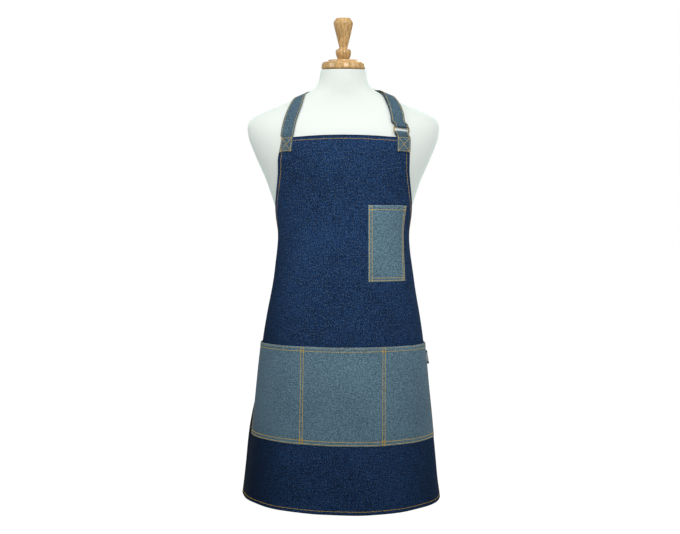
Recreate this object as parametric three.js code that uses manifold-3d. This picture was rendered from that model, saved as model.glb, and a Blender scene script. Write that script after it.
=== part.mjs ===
// A denim bib apron on a half-body dress form with a turned wooden neck cap and a low adjustable stand.
// Millimetres, +Z up. The form faces -Y and its left arm side is +X. The origin is on the ground, on the
// stand's axis.
import * as THREE from "three";
import { mergeVertices } from "three/addons/utils/BufferGeometryUtils.js";
import Module from "manifold-3d";

const wasm = await Module();
wasm.setup();

// ---------------------------------------------------------------- driving dimensions

const GAP = 0.3; // left between pieces that touch
const ROUND = 16; // sides of a small turned piece

const PLATE_RADIUS = 140;
const PAD_THICKNESS = 2;
const PLATE_TOP = 10.3;
const TUBE = { radius: 16, bore: 13.5, bottom: 24, top: 200 };
const POST = { radius: 12, bore: 9.5, bottom: 50, top: 395 };
const CLAMP_HEIGHT = 216; // the clamp screw's axis
const FORM_BOTTOM = 300; // underside of the base board
const BOARD_THICKNESS = 15;
const NECK_TOP = 1001;
const NECK_LEAN = THREE.MathUtils.degToRad(5);
const SHELL_WALL = 5;
const COVER_CLEAR = 0.4; // jersey cover, from the shell
const COVER_THICKNESS = 0.9;

const CLOTH = 1.5; // apron panel and pockets
const WEBBING = 1.6; // neck strap, tab and ties
const STRAP_WIDTH = 30;
const TIE_WIDTH = 28;
const CLOTH_CLEAR = 3; // middle of the panel, from the shell
const SIDE_WIDTH = 343; // half the flat width of the skirt
const BIB_WIDTH = 152; // half the flat width of the bib's top edge
const ARMHOLE_DEPTH = 290; // from the bib's top edge down to the waist corner
const BIB_TOP = 840;
const HEM = 9;

// Torso sections: height, half width, half depth, middle, and the exponent of the oval.
const TORSO = [
  [300, 152, 104, 8, 2.2],
  [345, 165, 114, 9, 2.2],
  [430, 160, 108, 7, 2.2],
  [520, 141, 94, 4, 2.1],
  [600, 134, 90, 3, 2.1],
  [680, 158, 102, 2, 2.1],
  [745, 180, 110, 2, 2.1],
  [800, 204, 110, 2, 2.1],
  [848, 221, 96, 3, 2.1],
  [880, 217, 77, 4, 2.1],
  [900, 184, 66, 5, 2.1],
  [918, 141, 60, 6, 2.05],
  [935, 103, 57, 6, 2],
  [950, 73, 56, 5, 2],
  [968, 58, 55, 3, 2],
  [NECK_TOP, 51.5, 51.5, 0, 2],
];

// Apron sections: height at the front, half width and half depth of the oval that the cloth hangs in.
const APRON = [
  [BIB_TOP, 206, 104],
  [780, 190, 117],
  [700, 171, 119],
  [612, 153, 120],
  [364, 188, 141],
  [151, 213, 173],
  [HEM, 231, 199],
];

// ---------------------------------------------------------------- materials

const paint = (color, roughness, metalness = 0) =>
  new THREE.MeshStandardMaterial({ color, roughness, metalness });

const DENIM = paint(0x1e3150, 0.9);
const CHAMBRAY = paint(0x5b7384, 0.9);
const JERSEY = paint(0xf0f2ee, 0.8);
const FIBRE_SHELL = paint(0xd8d4c8, 0.6);
const MAPLE = paint(0xc39a62, 0.35);
const PLYWOOD = paint(0xc8a878, 0.7);
const STEEL = paint(0xb8bbbf, 0.3, 1);
const BLACK_STEEL = paint(0x24262a, 0.45, 0.6);
const BRASS = paint(0x8a6a35, 0.4, 1);
const RUBBER = paint(0x1a1a1a, 0.85);
const NYLON = paint(0xe6e3da, 0.5);
const BLACK_PLASTIC = paint(0x1c1c1e, 0.5);
const LABEL = paint(0x3a3d40, 0.8);

const apronOnForm = new THREE.Group();

function place(name, geometry, material, parent = apronOnForm) {
  const mesh = new THREE.Mesh(geometry, material);
  mesh.name = name;
  parent.add(mesh);
  return mesh;
}

// ---------------------------------------------------------------- small maths

const vec = (x, y, z) => new THREE.Vector3(x, y, z);
const clamp = THREE.MathUtils.clamp;
const smooth = (x, low, high) => THREE.MathUtils.smoothstep(x, low, high);

// A smooth row between the rows of a table whose first column rises or falls steadily.
function rowAt(table, key) {
  const falling = table[0][0] > table[1][0];
  let i = table.findIndex((row) => (falling ? row[0] <= key : row[0] >= key));
  i = i < 0 ? table.length - 1 : Math.max(i, 1);
  const [a, b] = [table[i - 1], table[i]];
  const before = table[Math.max(i - 2, 0)];
  const after = table[Math.min(i + 1, table.length - 1)];
  const t = clamp((key - a[0]) / (b[0] - a[0]), 0, 1);
  return a.map((_, k) => {
    const m0 = ((b[k] - before[k]) / (b[0] - before[0])) * (b[0] - a[0]);
    const m1 = ((after[k] - a[k]) / (after[0] - a[0])) * (b[0] - a[0]);
    const [t2, t3] = [t * t, t * t * t];
    return (
      a[k] * (2 * t3 - 3 * t2 + 1) + m0 * (t3 - 2 * t2 + t) + b[k] * (3 * t2 - 2 * t3) + m1 * (t3 - t2)
    );
  });
}

// Above 1 outside the torso, below 1 inside it.
function torsoField(p) {
  const [, a, b, c, n] = rowAt(TORSO, p.z);
  return (Math.abs(p.x / a) ** n + Math.abs((p.y - c) / b) ** n) ** (1 / n);
}

// The outward normal and the distance from the shell, near the torso.
function torsoDistance(p) {
  const step = 0.5;
  const slope = (d) => (torsoField(p.clone().add(d)) - torsoField(p.clone().sub(d))) / (2 * step);
  const gradient = vec(slope(vec(step, 0, 0)), slope(vec(0, step, 0)), slope(vec(0, 0, step)));
  const steepness = gradient.length();
  return { normal: gradient.divideScalar(steepness), distance: (torsoField(p) - 1) / steepness };
}

// Moves a point along the torso's normal until it stands `clearance` off the shell.
function settle(point, clearance, onlyOut = false) {
  const p = point.clone();
  for (let i = 0; i < 8; i++) {
    const { normal, distance } = torsoDistance(p);
    if (onlyOut && distance >= clearance) break;
    p.addScaledVector(normal, clearance - distance);
  }
  return p;
}

const pushOut = (point, clearance) => settle(point, clearance, true);

// ---------------------------------------------------------------- solids

// One closed surface from a list of points and polygons; turned round if it is inside out.
function closed(points, polygons) {
  const index = polygons.flatMap((p) => p.slice(2).flatMap((_, i) => [p[0], p[i + 1], p[i + 2]]));
  let volume = 0;
  for (let i = 0; i < index.length; i += 3) {
    const [a, b, c] = [points[index[i]], points[index[i + 1]], points[index[i + 2]]];
    volume += a.dot(b.clone().cross(c));
  }
  const geometry = new THREE.BufferGeometry().setFromPoints(points);
  geometry.setIndex(volume < 0 ? index.reverse() : index);
  return geometry;
}

// The solid between two grids of points of the same size. `around` joins each row's ends.
function between(outer, inner, around = false) {
  const rows = outer.length;
  const columns = outer[0].length;
  const points = [...outer.flat(), ...inner.flat()];
  const at = (layer, r, c) => layer * rows * columns + r * columns + (c % columns);
  const last = around ? columns : columns - 1;
  const polygons = [];
  for (let r = 0; r < rows - 1; r++)
    for (let c = 0; c < last; c++) {
      polygons.push([at(0, r, c), at(0, r, c + 1), at(0, r + 1, c + 1), at(0, r + 1, c)]);
      polygons.push([at(1, r, c), at(1, r + 1, c), at(1, r + 1, c + 1), at(1, r, c + 1)]);
    }
  for (let c = 0; c < last; c++)
    for (const [r, turn] of [
      [0, 1],
      [rows - 1, 0],
    ])
      polygons.push([at(turn, r, c), at(turn, r, c + 1), at(1 - turn, r, c + 1), at(1 - turn, r, c)]);
  if (!around)
    for (let r = 0; r < rows - 1; r++)
      for (const [c, turn] of [
        [0, 0],
        [columns - 1, 1],
      ])
        polygons.push([at(turn, r, c), at(turn, r + 1, c), at(1 - turn, r + 1, c), at(1 - turn, r, c)]);
  return closed(points, polygons);
}

// Cloth of even thickness about a grid of points in its middle.
function thick(grid, thickness) {
  const rows = grid.length - 1;
  const columns = grid[0].length - 1;
  const layer = (side) =>
    grid.map((row, r) =>
      row.map((point, c) => {
        const along = grid[Math.min(r + 1, rows)][c].clone().sub(grid[Math.max(r - 1, 0)][c]);
        const across = row[Math.min(c + 1, columns)].clone().sub(row[Math.max(c - 1, 0)]);
        const normal = across.cross(along).normalize();
        return point.clone().addScaledVector(normal, (side * thickness) / 2);
      }),
    );
  return between(layer(1), layer(-1));
}

// The middle of a ribbon: each sample has a point, the direction of its width, and perhaps a clearance that
// its whole width keeps from the torso.
const ribbonRows = (samples, width, columns = 2) =>
  samples.map(({ point, across, clearance, scale = 1 }) =>
    Array.from({ length: columns + 1 }, (_, c) => {
      const p = point.clone().addScaledVector(across, (c / columns - 0.5) * width * scale);
      return clearance ? pushOut(p, clearance) : p;
    }),
  );

// A turned piece about the Z axis from its outline, given as [radius, height] pairs in order.
const turned = (outline, sides = ROUND) => {
  const onAxis = outline[0][0] === 0;
  const points = outline.map(([r, z]) => new THREE.Vector2(r, z));
  if (!onAxis) points.push(points[0].clone());
  return new THREE.LatheGeometry(points, sides).rotateX(Math.PI / 2);
};

const ringOutline = (inner, outer, low, high) => [
  [inner, low],
  [outer, low],
  [outer, high],
  [inner, high],
];

const rodOutline = (radius, low, high) => [
  [0, low],
  [radius, low],
  [radius, high],
  [0, high],
];

function solid(geometry) {
  const bare = geometry.clone();
  bare.deleteAttribute("normal");
  bare.deleteAttribute("uv");
  const merged = mergeVertices(bare, 1e-3);
  return new wasm.Manifold(
    new wasm.Mesh({
      numProp: 3,
      vertProperties: new Float32Array(merged.attributes.position.array),
      triVerts: new Uint32Array(merged.index.array),
    }),
  );
}

function geometryOf(manifold) {
  const { vertProperties, triVerts } = manifold.getMesh();
  const geometry = new THREE.BufferGeometry();
  geometry.setAttribute("position", new THREE.BufferAttribute(vertProperties, 3));
  geometry.setIndex(new THREE.BufferAttribute(triVerts, 1));
  return geometry;
}

const join = (...pieces) => geometryOf(pieces.map(solid).reduce((a, b) => a.add(b)));
const cut = (body, ...tools) => geometryOf(tools.map(solid).reduce((a, b) => a.subtract(b), solid(body)));

// ---------------------------------------------------------------- stand

function makeStand() {
  place("base_pad", turned(rodOutline(PLATE_RADIUS - 4, 0, PAD_THICKNESS), 28), RUBBER);
  const low = PAD_THICKNESS + GAP;
  place(
    "base_plate",
    turned(
      [
        [9.5, low],
        [PLATE_RADIUS, low],
        [PLATE_RADIUS, PLATE_TOP - 3],
        [PLATE_RADIUS - 3, PLATE_TOP],
        [4.3, PLATE_TOP],
        [4.3, low + 6],
        [9.5, low + 6],
      ],
      28,
    ),
    BLACK_STEEL,
  );
  place(
    "plate_bolt",
    turned([
      [0, low + 0.5],
      [7, low + 0.5],
      [7, low + 5.7],
      [4, low + 5.7],
      [4, 36],
      [0, 36],
    ]),
    STEEL,
  );
  place(
    "tube_foot",
    turned([
      [4.3, PLATE_TOP + GAP],
      [30, PLATE_TOP + GAP],
      [29, 15],
      [20, TUBE.bottom - GAP],
      [TUBE.bore - GAP, TUBE.bottom - GAP],
      [TUBE.bore - GAP, 44],
      [4.3, 44],
    ]),
    BLACK_STEEL,
  );
  place("stand_tube", turned(ringOutline(TUBE.bore, TUBE.radius, TUBE.bottom, TUBE.top)), BLACK_STEEL);
  makeClamp();
}

function makeClamp() {
  const bodyRadius = 23;
  const bossEnd = 34;
  const ring = turned([
    [TUBE.radius + GAP, 182],
    [bodyRadius, 182],
    [bodyRadius, 230],
    [POST.radius + 0.5, 230],
    [POST.radius + 0.5, TUBE.top + GAP],
    [TUBE.radius + GAP, TUBE.top + GAP],
  ]);
  const boss = turned(rodOutline(9, 18, bossEnd)).rotateX(-Math.PI / 2).translate(0, 0, CLAMP_HEIGHT);
  const thread = turned(rodOutline(4.3, 5, 40)).rotateX(-Math.PI / 2).translate(0, 0, CLAMP_HEIGHT);
  place("clamp_collar", cut(join(ring, boss), thread), BLACK_PLASTIC);

  const clampScrew = turned([
    [0, POST.radius + GAP],
    [4, POST.radius + GAP],
    [4, 46],
    [0, 46],
  ]);
  place("clamp_screw", clampScrew.rotateX(-Math.PI / 2).translate(0, 0, CLAMP_HEIGHT), STEEL);
  place("clamp_knob", knobGeometry(bossEnd + 1), BLACK_PLASTIC);
}

// A hand knob with lobes, moulded round the end of the clamp screw.
function knobGeometry(start) {
  const lobes = 6;
  const outline = new THREE.Shape(
    Array.from({ length: 36 }, (_, i) => {
      const turn = (i / 36) * 2 * Math.PI;
      const radius = 15 + 2 * Math.cos(lobes * turn);
      return new THREE.Vector2(radius * Math.cos(turn), radius * Math.sin(turn));
    }),
  );
  const grip = new THREE.ExtrudeGeometry(outline, { depth: 14, bevelEnabled: false });
  const hole = turned(rodOutline(4.3, -1, 46 + GAP - start));
  return cut(grip, hole).rotateX(-Math.PI / 2).translate(0, start, CLAMP_HEIGHT);
}

function makePost() {
  place("inner_post", turned(ringOutline(POST.bore, POST.radius, POST.bottom, POST.top)), STEEL);
  place(
    "post_plug",
    turned([
      [0, POST.top - 14],
      [POST.bore - GAP, POST.top - 14],
      [POST.bore - GAP, POST.top + GAP],
      [POST.radius, POST.top + GAP],
      [POST.radius, POST.top + 3],
      [5, POST.top + 6],
      [0, POST.top + 6],
    ]),
    NYLON,
  );
  const collarLow = FORM_BOTTOM - 19;
  const collarHigh = FORM_BOTTOM - 8.5;
  const collar = turned(ringOutline(POST.radius + GAP, 22, collarLow, collarHigh));
  const screwHole = turned(rodOutline(2.8, 5, 30))
    .rotateX(-Math.PI / 2)
    .translate(0, 0, (collarLow + collarHigh) / 2);
  place("stop_collar", cut(collar, screwHole), STEEL);
  const grub = turned(rodOutline(2.5, POST.radius + 2 * GAP, 21.5), 8).rotateX(-Math.PI / 2);
  place("stop_collar_screw", grub.translate(0, 0, (collarLow + collarHigh) / 2), BLACK_STEEL);
  const washer = ringOutline(POST.radius + GAP, 21, collarHigh + GAP, FORM_BOTTOM - 5.2);
  place("thrust_washer", turned(washer), NYLON);
}

// ---------------------------------------------------------------- dress form

const TORSO_SIDES = 24;
const TORSO_ROWS_PER_SECTION = [1, 1, 1, 1, 1, 1, 1, 1, 2, 1, 1, 2, 2, 2, 1];
const COVER_HEIGHTS = TORSO.slice(1).flatMap(([high], i) => {
  const steps = TORSO_ROWS_PER_SECTION[i];
  const low = TORSO[i][0];
  return Array.from({ length: steps }, (_, k) => low + ((k + 1) / steps) * (high - low));
});

// A point on the torso's oval at a height, `turn` round from the front, stood off along its normal.
function torsoPoint(height, turn, off) {
  const [, a, b, c, n] = rowAt(TORSO, height);
  const [s, k] = [Math.sin(turn), Math.cos(turn)];
  const x = a * Math.sign(s) * Math.abs(s) ** (2 / n);
  const y = c - b * Math.sign(k) * Math.abs(k) ** (2 / n);
  const p = vec(x, y, height);
  const { normal } = torsoDistance(height > 995 ? p.clone().setZ(995) : p);
  normal.z *= 1 - smooth(height, 960, NECK_TOP);
  if (height <= FORM_BOTTOM + BOARD_THICKNESS + 1) normal.z = 0;
  p.addScaledVector(normal.normalize(), off);
  p.z += (p.y - c) * Math.tan(NECK_LEAN) * smooth(height, 965, NECK_TOP);
  return p;
}

const torsoGrid = (heights, off) =>
  heights.map((height) =>
    Array.from({ length: TORSO_SIDES }, (_, i) => torsoPoint(height, (i / TORSO_SIDES) * 2 * Math.PI, off)),
  );

// Things that sit on the neck are made about the Z axis and leaned with it.
function onNeck(geometry) {
  return geometry.rotateX(NECK_LEAN).translate(0, 0, NECK_TOP);
}

function makeForm() {
  const boardTop = FORM_BOTTOM + BOARD_THICKNESS;
  const shellHeights = [boardTop + GAP, ...COVER_HEIGHTS];
  const shell = between(torsoGrid(shellHeights, 0), torsoGrid(shellHeights, -SHELL_WALL), true);
  place("torso_shell", shell, FIBRE_SHELL);
  const coverHeights = [FORM_BOTTOM + 1, boardTop + GAP, ...COVER_HEIGHTS];
  place(
    "jersey_cover",
    between(
      torsoGrid(coverHeights, COVER_CLEAR + COVER_THICKNESS),
      torsoGrid(coverHeights, COVER_CLEAR),
      true,
    ),
    JERSEY,
  );

  const boardOutline = new THREE.Shape(
    torsoGrid([FORM_BOTTOM + 1], -0.2)[0].map((p) => new THREE.Vector2(p.x, p.y)),
  );
  const depth = BOARD_THICKNESS - 0.5;
  const board = new THREE.ExtrudeGeometry(boardOutline, { depth, bevelEnabled: false });
  const socketHole = turned(rodOutline(16.5, FORM_BOTTOM - 10, boardTop + 10));
  const screwHoles = screwPlaces(28).map(([x, y]) =>
    turned(rodOutline(2.3, FORM_BOTTOM - 10, FORM_BOTTOM + 10), 8).translate(x, y, 0),
  );
  place("base_board", cut(board.translate(0, 0, FORM_BOTTOM), socketHole, ...screwHoles), PLYWOOD);
  makeSocket();

  const block = turned(
    [
      [5, -17],
      [45, -17],
      [45.3, -1],
      [5, -1],
    ],
    TORSO_SIDES,
  );
  place("neck_block", onNeck(block), PLYWOOD);
}

const screwPlaces = (radius) =>
  [0, 1, 2, 3].map((i) => {
    const turn = Math.PI / 4 + (i * Math.PI) / 2;
    return [radius * Math.cos(turn), radius * Math.sin(turn)];
  });

// The steel socket that turns on the post: a flange under the board and a sleeve up inside the form.
function makeSocket() {
  const low = FORM_BOTTOM - 4.7;
  const flangeTop = FORM_BOTTOM - GAP;
  const flange = turned([
    [POST.radius + 0.4, low],
    [38, low],
    [38, flangeTop],
    [16, flangeTop],
    [16, POST.top + 5],
    [POST.radius + 0.4, POST.top + 5],
  ]);
  const holes = screwPlaces(28).map(([x, y]) =>
    turned(rodOutline(2.4, low - 5, low + 10), 8).translate(x, y, 0),
  );
  place("swivel_socket", cut(flange, ...holes), STEEL);
  place(
    "socket_cap",
    turned([
      [0, POST.top + 6 + GAP],
      [POST.radius - 1, POST.top + 6 + GAP],
      [POST.radius - 1, POST.top + 5 + GAP],
      [18, POST.top + 5 + GAP],
      [18, POST.top + 12],
      [0, POST.top + 12],
    ]),
    STEEL,
  );
  screwPlaces(28).forEach(([x, y], i) => {
    const screw = turned(
      [
        [0, low - 2.3],
        [4, low - 2.3],
        [4, low - GAP],
        [2, low - GAP],
        [1.8, low + 13],
        [0, low + 14],
      ],
      8,
    );
    place(`socket_screw_${i + 1}`, screw.translate(x, y, 0), STEEL);
  });
}

function makeNeckCap() {
  const cap = turned(
    [
      [5, 0.7],
      [47, 0.7],
      [50.5, 2.5],
      [51.7, 6],
      [50.5, 10],
      [46.5, 15],
      [40, 19.5],
      [35.5, 21.5],
      [34.5, 23],
      [5, 23],
    ],
    24,
  );
  place("neck_cap", onNeck(cap), MAPLE);

  const finial = turned(
    [
      [0, 52],
      [4.6, 52],
      [4.6, 23.5],
      [12.5, 23.5],
      [15.5, 29],
      [17.3, 36],
      [17.8, 42.5],
      [14.5, 45.6],
      [10.5, 47.5],
      [9.8, 50],
      [13.5, 66],
      [18, 84],
      [21.5, 97],
      [23, 105.5],
      [21.8, 111],
      [18.2, 114.5],
      [17.4, 117.5],
      [0, 117.5],
    ],
    18,
  );
  place("finial", onNeck(finial), MAPLE);

  const stud = turned([
    [0, -14],
    [3.6, -14],
    [4.3, -12],
    [4.3, 50],
    [0, 50],
  ]);
  place("finial_stud", onNeck(stud), STEEL);
}

// ---------------------------------------------------------------- apron

// Heights down the front middle line at each millimetre of cloth.
const FRONT_LINE = (() => {
  const heights = [];
  let last = vec(0, -APRON[0][2], BIB_TOP);
  let length = 0;
  for (let z = BIB_TOP; z >= HEM; z -= 0.25) {
    const here = vec(0, -rowAt(APRON, z)[2], z);
    length += here.distanceTo(last);
    last = here;
    while (heights.length <= length) heights.push(z);
  }
  return heights;
})();
const APRON_LENGTH = FRONT_LINE.length - 1;

// Half the flat width of the panel, `down` millimetres below the bib's top edge.
function halfWidth(down) {
  if (down >= ARMHOLE_DEPTH) return SIDE_WIDTH;
  const scoop = Math.sqrt(1 - (down / ARMHOLE_DEPTH) ** 2);
  return SIDE_WIDTH - (SIDE_WIDTH - BIB_WIDTH) * scoop;
}

// Where a point of the flat cloth hangs: `across` from the middle line and `down` from the bib's top.
function hang(across, down, off = 0) {
  const height = FRONT_LINE[clamp(Math.round(down), 0, APRON_LENGTH)];
  const [, a, b] = rowAt(APRON, height);
  const step = 0.01;
  let turn = 0;
  for (let arc = 0; arc < Math.abs(across); turn += step)
    arc += step * Math.hypot(a * Math.cos(turn), b * Math.sin(turn));
  turn *= Math.sign(across);
  const droop = 7 * (across / BIB_WIDTH) ** 2 * Math.max(0, 1 - down / 150);
  const p = vec(a * Math.sin(turn), -b * Math.cos(turn), height - droop);
  const outward = vec(Math.sin(turn) / a, -Math.cos(turn) / b, 0).normalize();
  const kept = pushOut(p, CLOTH_CLEAR);
  return kept.addScaledVector(outward, off);
}

// A rectangle-like patch of cloth on the hanging apron. `across` and `down` list its grid lines; `spread`
// turns a grid line into the distance from the middle line, and `off` lifts the patch off the panel.
function patch(across, down, off, spread = (x) => x) {
  const grid = down.map((y) => across.map((x) => hang(spread(x, y), y, off(x, y))));
  return thick(grid, CLOTH);
}

const steps = (from, to, count) =>
  Array.from({ length: count + 1 }, (_, i) => from + ((to - from) * i) / count);

const SEAM = CLOTH + GAP; // a pocket's seam, from the panel's middle to its own
const WAIST_POCKET = { half: 280, top: 478, height: 216, divider: 280 / 3, gape: 11 };
const CHEST_POCKET = { left: 56, width: 101, top: 160, height: 171, gape: 9 };
const ARMHOLE_ROWS = [225, 248, 267, 281, ARMHOLE_DEPTH];
const POCKET_LINES = steps(-WAIST_POCKET.half, WAIST_POCKET.half, 24);
const POCKET_ROWS = steps(WAIST_POCKET.top, WAIST_POCKET.top + WAIST_POCKET.height, 6);

// How far a pocket stands off the panel: nothing at its seams, `gape` at the middle of its mouth.
const bulge = (gape, x, y) => gape * Math.max(0, 1 - x * x) ** 0.75 * Math.sqrt(Math.max(0, 1 - y ** 3));

function makeApron() {
  const { half, top, height, divider, gape } = WAIST_POCKET;
  const lines = [-SIDE_WIDTH, -322, -301, ...POCKET_LINES, 301, 322, SIDE_WIDTH];
  const rows = [
    ...steps(0, 200, 6),
    ...ARMHOLE_ROWS,
    ...steps(ARMHOLE_DEPTH, top, 5).slice(1, -1),
    ...POCKET_ROWS,
    ...steps(top + height, APRON_LENGTH, 4).slice(1),
  ];
  const narrowed = (x, y) => (x / SIDE_WIDTH) * halfWidth(y);
  place("apron_panel", patch(lines, rows, () => 0, narrowed), DENIM);

  const compartment = (across) => {
    const side = Math.abs(across);
    return side <= divider ? side / divider : ((side - divider) / (half - divider)) * 2 - 1;
  };
  const pocketOff = (across, down) => SEAM + bulge(gape, compartment(across), (down - top) / height);
  place("waist_pocket", patch(POCKET_LINES, POCKET_ROWS, pocketOff), CHAMBRAY);

  const chest = CHEST_POCKET;
  const chestOff = (across, down) => {
    const share = ((across - chest.left) / chest.width) * 2 - 1;
    return SEAM + 0.4 + bulge(chest.gape, share, (down - chest.top) / chest.height);
  };
  place(
    "chest_pocket",
    patch(
      steps(chest.left, chest.left + chest.width, 8),
      steps(chest.top, chest.top + chest.height, 6),
      chestOff,
    ),
    CHAMBRAY,
  );
  makeSideLabel();
}

// A folded woven label that stands out from the pocket's side seam.
function makeSideLabel() {
  const { half, top } = WAIST_POCKET;
  const width = 30;
  const rows = steps(top + 22, top + 22 + width, 2).map((down) =>
    [1.3, 5.2, 9.5].map((past) => hang(half + past, down, SEAM + 0.15 * past)),
  );
  place("side_label", thick(rows, 1.1), LABEL);
}

// ---------------------------------------------------------------- neck strap, ring and adjuster

const BOX = { across: 137, rows: [35, 24, 12, 0] }; // the sewn box at a bib corner, up to the top edge
const TAB_LAYER = CLOTH / 2 + GAP + WEBBING / 2; // first layer of webbing on the bib, from its middle
const STRAP_CLEAR = 6.8; // middle of the strap's upper layer, from the shell
const RETURN_CLEAR = 3.4; // middle of the layer that runs back under it
const SINGLE_CLEAR = 3.2; // middle of the strap where it is one layer
const RING = { wire: 3, innerWidth: 31.6, innerHeight: 12.4 };
const RING_PLACE = vec(131.6, -82.6, 855.2);
const FOLD = RING.wire / 2 + 0.5 + WEBBING / 2;
const NECK_ARC = { height: 967, radius: 92, middle: -23 }; // the strap's curve behind the neck
const SLIDER = { turn: THREE.MathUtils.degToRad(14), wire: 2, innerWidth: 31.5, span: 26, lift: 2.1 };

// The strap's way over the shoulder on the +X side, from the ring to behind the neck.
const SHOULDER_ROUTE = [
  vec(124.5, -76, 874),
  vec(118, -60, 893),
  vec(110, -48, 909),
  vec(101, -36, 924),
  vec(90, -20, 936),
  vec(79, 0, 946),
  vec(71, 20, 953),
];

// A point of the strap's curve behind the neck; `turn` is from the middle of the back towards +X.
const onNeckArc = (turn, off = 0) => {
  const r = NECK_ARC.radius + off;
  return vec(r * Math.sin(turn), NECK_ARC.middle + r * Math.cos(turn), NECK_ARC.height);
};

// Samples over a shoulder, upwards from the bib, that end `off` the strap's curve behind the neck.
// `side` is 1 for +X and -1 for -X.
function overShoulder(side, clearance, off) {
  const neckEnd = [50, 42].map((degrees) => onNeckArc(THREE.MathUtils.degToRad(degrees), off));
  const route = [...SHOULDER_ROUTE, ...neckEnd].map((p) => p.clone().setX(side * p.x));
  const curve = new THREE.CatmullRomCurve3(route, false, "centripetal");
  const count = 18;
  return steps(0, 1, count).map((t) => {
    const raw = curve.getPointAt(t);
    const free = smooth(t, 0.72, 0.95);
    const point = settle(raw, clearance).lerp(raw, free);
    const { normal } = torsoDistance(point);
    const flat = vec(raw.x, raw.y - NECK_ARC.middle, 0).normalize();
    const facing = normal.lerp(flat, free).normalize();
    const across = curve.getTangentAt(t).cross(facing).normalize().multiplyScalar(-side);
    return { point, across: across.negate(), clearance: clearance - 0.2 };
  });
}

// The ring lies in a plane: `side` runs along its bars, `rise` up the strap and `out` off the chest.
const RING_FRAME = (() => {
  const middle = settle(RING_PLACE, RETURN_CLEAR + FOLD);
  const out = torsoDistance(middle).normal;
  const up = vec(0.104, 0, 1);
  const rise = up.addScaledVector(out, -up.dot(out)).normalize();
  return { middle, rise, out, side: rise.clone().cross(out) };
})();

const byRing = (up, out) =>
  RING_FRAME.middle.clone().addScaledVector(RING_FRAME.rise, up).addScaledVector(RING_FRAME.out, out);

// Rows of webbing sewn on a bib corner, from the box's lower edge up to just past the bib's top edge.
function boxRows(side, off) {
  const row = (down) => [-0.5, 0, 0.5].map((w) => hang(side * BOX.across + w * STRAP_WIDTH, down, off));
  return [...BOX.rows.map(row), row(0).map((p) => p.add(vec(0, 1, 2.5)))];
}

// Half a turn of webbing round a bar of the ring, from the front to the back, past its `towards` side.
function roundBar(bar, towards, across) {
  const bend = steps(0, Math.PI, 8).map((turn) =>
    byRing(bar + towards * FOLD * Math.sin(turn), FOLD * Math.cos(turn)),
  );
  const [before, after] = [FOLD, -FOLD].map((out) => byRing(bar - towards * 4.5, out));
  return [before, ...bend, after].map((point) => ({ point, across }));
}

// A flat frame of round-cornered bars, with its window, about the origin in the XY plane.
function wireFrame(innerWidth, innerHeight, wire, bars = []) {
  const outline = (width, height, radius) => {
    const [x, y] = [width / 2, height / 2];
    const shape = new THREE.Shape();
    shape.moveTo(-x + radius, -y);
    shape.absarc(x - radius, -y + radius, radius, -Math.PI / 2, 0);
    shape.absarc(x - radius, y - radius, radius, 0, Math.PI / 2);
    shape.absarc(-x + radius, y - radius, radius, Math.PI / 2, Math.PI);
    shape.absarc(-x + radius, -y + radius, radius, Math.PI, 1.5 * Math.PI);
    return shape;
  };
  const frame = outline(innerWidth + 2 * wire, innerHeight + 2 * wire, wire + 1);
  frame.holes.push(outline(innerWidth, innerHeight, 1));
  const bevel = 0.25 * wire;
  const depth = wire - 2 * bevel;
  const settings = {
    depth,
    bevelThickness: bevel,
    bevelSize: bevel,
    bevelOffset: -bevel,
    bevelSegments: 1,
    curveSegments: 3,
  };
  const geometry = new THREE.ExtrudeGeometry(frame, settings).translate(0, 0, -depth / 2);
  const crossBars = bars.map((y) =>
    new THREE.CylinderGeometry(wire / 2, wire / 2, innerWidth + wire, 10)
      .rotateZ(Math.PI / 2)
      .translate(0, y, 0),
  );
  return bars.length ? join(geometry, ...crossBars) : geometry;
}

const inBasis = (geometry, x, y, z, origin) =>
  geometry.applyMatrix4(new THREE.Matrix4().makeBasis(x, y, z).setPosition(origin));

function makeRing() {
  const { side, rise, out, middle } = RING_FRAME;
  const frame = wireFrame(RING.innerWidth, RING.innerHeight, RING.wire);
  place("strap_ring", inBasis(frame, side, rise, out, middle), BRASS);

  const bar = -(RING.innerHeight + RING.wire) / 2;
  const layer = (off) => boxRows(1, off);
  const fold = ribbonRows(roundBar(bar, 1, side), STRAP_WIDTH);
  const front = layer(TAB_LAYER + WEBBING + GAP);
  place("ring_tab", thick([...front, ...fold, ...layer(TAB_LAYER).reverse()], WEBBING), CHAMBRAY);
}

// The strap's adjuster lies in its own plane behind the neck: x along the strap, y off the neck.
const SLIDER_FRAME = (() => {
  const out = vec(Math.sin(SLIDER.turn), Math.cos(SLIDER.turn), 0);
  return { out, along: vec(out.y, -out.x, 0), origin: onNeckArc(SLIDER.turn) };
})();

const bySlider = (x, y) =>
  SLIDER_FRAME.origin.clone().addScaledVector(SLIDER_FRAME.along, x).addScaledVector(SLIDER_FRAME.out, y);

function makeSlider() {
  const { along } = SLIDER_FRAME;
  const up = vec(0, 0, 1);
  const frame = wireFrame(SLIDER.innerWidth, SLIDER.span - SLIDER.wire, SLIDER.wire, [0]);
  const placed = inBasis(frame, up, along, up.clone().cross(along), bySlider(0, SLIDER.lift));
  place("strap_slider", placed, BRASS);
}

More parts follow.
